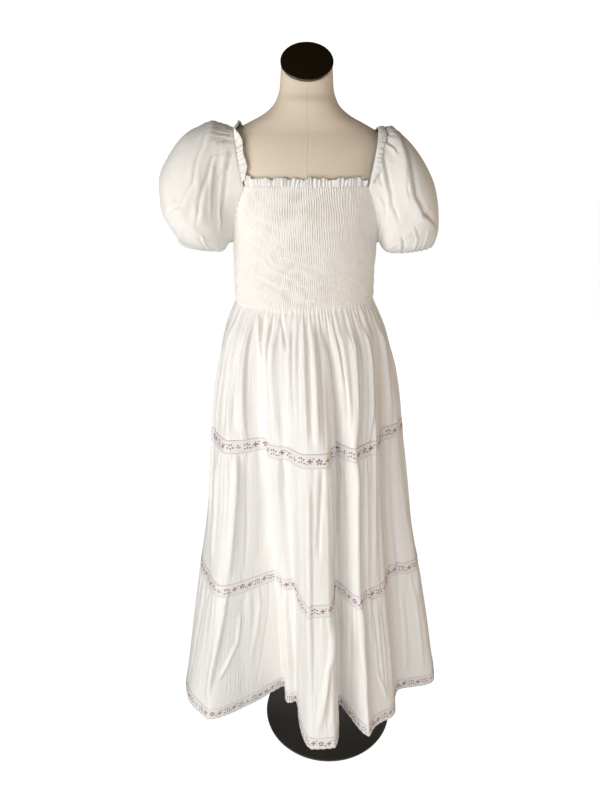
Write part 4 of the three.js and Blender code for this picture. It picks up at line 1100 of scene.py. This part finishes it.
# The cuffs: a short band of the sleeve's cotton with elastic in it, which draws it into fine
# gathers. It is sewn inside each sleeve's tucked lower end.
cuff_inside = 0.8  # how far it lies inside the sleeve's last ring
for side in outward:
    row = sleeve_rows[side][-1]
    middle = np.array([(row[1] + row[3]) / 2, 0, (row[2] + row[4]) / 2])
    sideways = np.array([row[1] - row[3], 0, row[2] - row[4]])
    half_width = np.linalg.norm(sideways) / 2
    sideways = sideways / (2 * half_width)
    down = np.array([sideways[2], 0, -sideways[0]]) * np.sign(sideways[0])
    angle = -outward[side] * np.radians(even_azimuths(96))[None, :, None]
    drop = np.linspace(0.6, 12, 6)[:, None, None]
    pinch = 0.5 * crest(angle * 30 / (2 * math.pi))
    half_depth = row[5] - cuff_inside
    points = middle + sideways * (half_width - cuff_inside + pinch) * np.sin(angle) + down * drop
    points = points + np.array([0, -1, 0]) * (half_depth + pinch) * np.cos(angle)
    name = f"cuff_{side}"
    lay_cloth(f"{name}_band", points, tier_cotton, "cotton", [name], sleeve_wall, round_about=True)

# The stage: a plain white floor before a white backdrop. A tall soft light stands near the left
# side, as a window would. Weaker ones fill the front, the skirt's foot, the right and the back.
white_floor, shader, _ = new_material("white_floor", (0.25, 0.25, 0.25), 0.9)
shader.inputs["Emission Color"].default_value = (1, 1, 1, 1)
shader.inputs["Emission Strength"].default_value = 1.0
far = 14  # how far the floor reaches, in metres
floor_mesh = bpy.data.meshes.new("floor")
floor_corners = [(-far, -far, 0), (far, -far, 0), (far, far, 0), (-far, far, 0)]
floor_mesh.from_pydata(floor_corners, [], [(0, 1, 2, 3)])
floor_mesh.materials.append(white_floor)
floor = bpy.data.objects.new("floor", floor_mesh)
bpy.context.scene.collection.objects.link(floor)
floor.location.z = -0.0005  # just under the plate
floor.visible_diffuse = False

world = bpy.data.worlds.new("studio")
bpy.context.scene.world = world
world.use_nodes = True
backdrop = world.node_tree.nodes["Background"]
backdrop.inputs["Color"].default_value = (1, 1, 1, 1)
backdrop.inputs["Strength"].default_value = 1.1
world.cycles_visibility.diffuse = False
world.cycles_visibility.glossy = False
bpy.context.scene.view_settings.view_transform = "Standard"


def turned_matrix(right, up, back, place):
    """A matrix that turns an object's own axes to these three and moves it to a place."""
    turned = np.eye(4)
    turned[:3, 0], turned[:3, 1], turned[:3, 2], turned[:3, 3] = right, up, back, place
    return Matrix(turned.tolist())


def add_light(name, place, aim, size, power, colour):
    """A soft light of a width and a height at a place, turned to face a point."""
    light = bpy.data.lights.new(name, "AREA")
    light.shape = "RECTANGLE"
    light.size, light.size_y = size
    light.energy = power
    light.color = colour
    lamp = bpy.data.objects.new(name, light)
    bpy.context.scene.collection.objects.link(lamp)
    lamp.visible_camera = False
    back = np.array(place) - np.array(aim)
    back = back / np.linalg.norm(back)
    right = np.cross([0, 0, 1], back)
    right /= np.linalg.norm(right)
    lamp.matrix_world = turned_matrix(right, np.cross(back, right), back, place)


# each light: its place and the point it faces in metres, its width and height, watts and colour
add_light("window_left", (-1.45, -1.15, 1.35), (0, 0, 0.95), (0.9, 2.5), 25, (1, 0.99, 0.975))
add_light("fill_front", (-0.7, -2.6, 1.6), (-0.1, 0, 1.0), (2.2, 1.8), 18, (1, 0.94, 0.87))
add_light("fill_low", (-0.1, -2.5, 0.3), (0, 0, 0.3), (3.2, 0.5), 33, (0.99, 0.99, 1))
add_light("fill_right", (3.2, -0.6, 1.3), (0, 0, 0.8), (2.5, 2.5), 34, (1, 0.78, 0.60))
add_light("fill_back", (0.6, 3.4, 2.0), (0, 0, 0.8), (3.0, 3.0), 50, (1, 0.95, 0.88))

camera_place = (-0.0138, -1.34, 1.513)
tilt, roll = math.radians(22.8), math.radians(1.2)
camera_data = bpy.data.cameras.new("camera")
camera_data.lens = 28.8
camera = bpy.data.objects.new("camera", camera_data)
bpy.context.scene.collection.objects.link(camera)
bpy.context.scene.camera = camera
forward = np.array([0, math.cos(tilt), -math.sin(tilt)])
level = np.array([1.0, 0, 0])
upward = np.cross(level, forward)
right = math.cos(roll) * level - math.sin(roll) * upward
top = math.sin(roll) * level + math.cos(roll) * upward
camera.matrix_world = turned_matrix(right, top, -forward, camera_place)
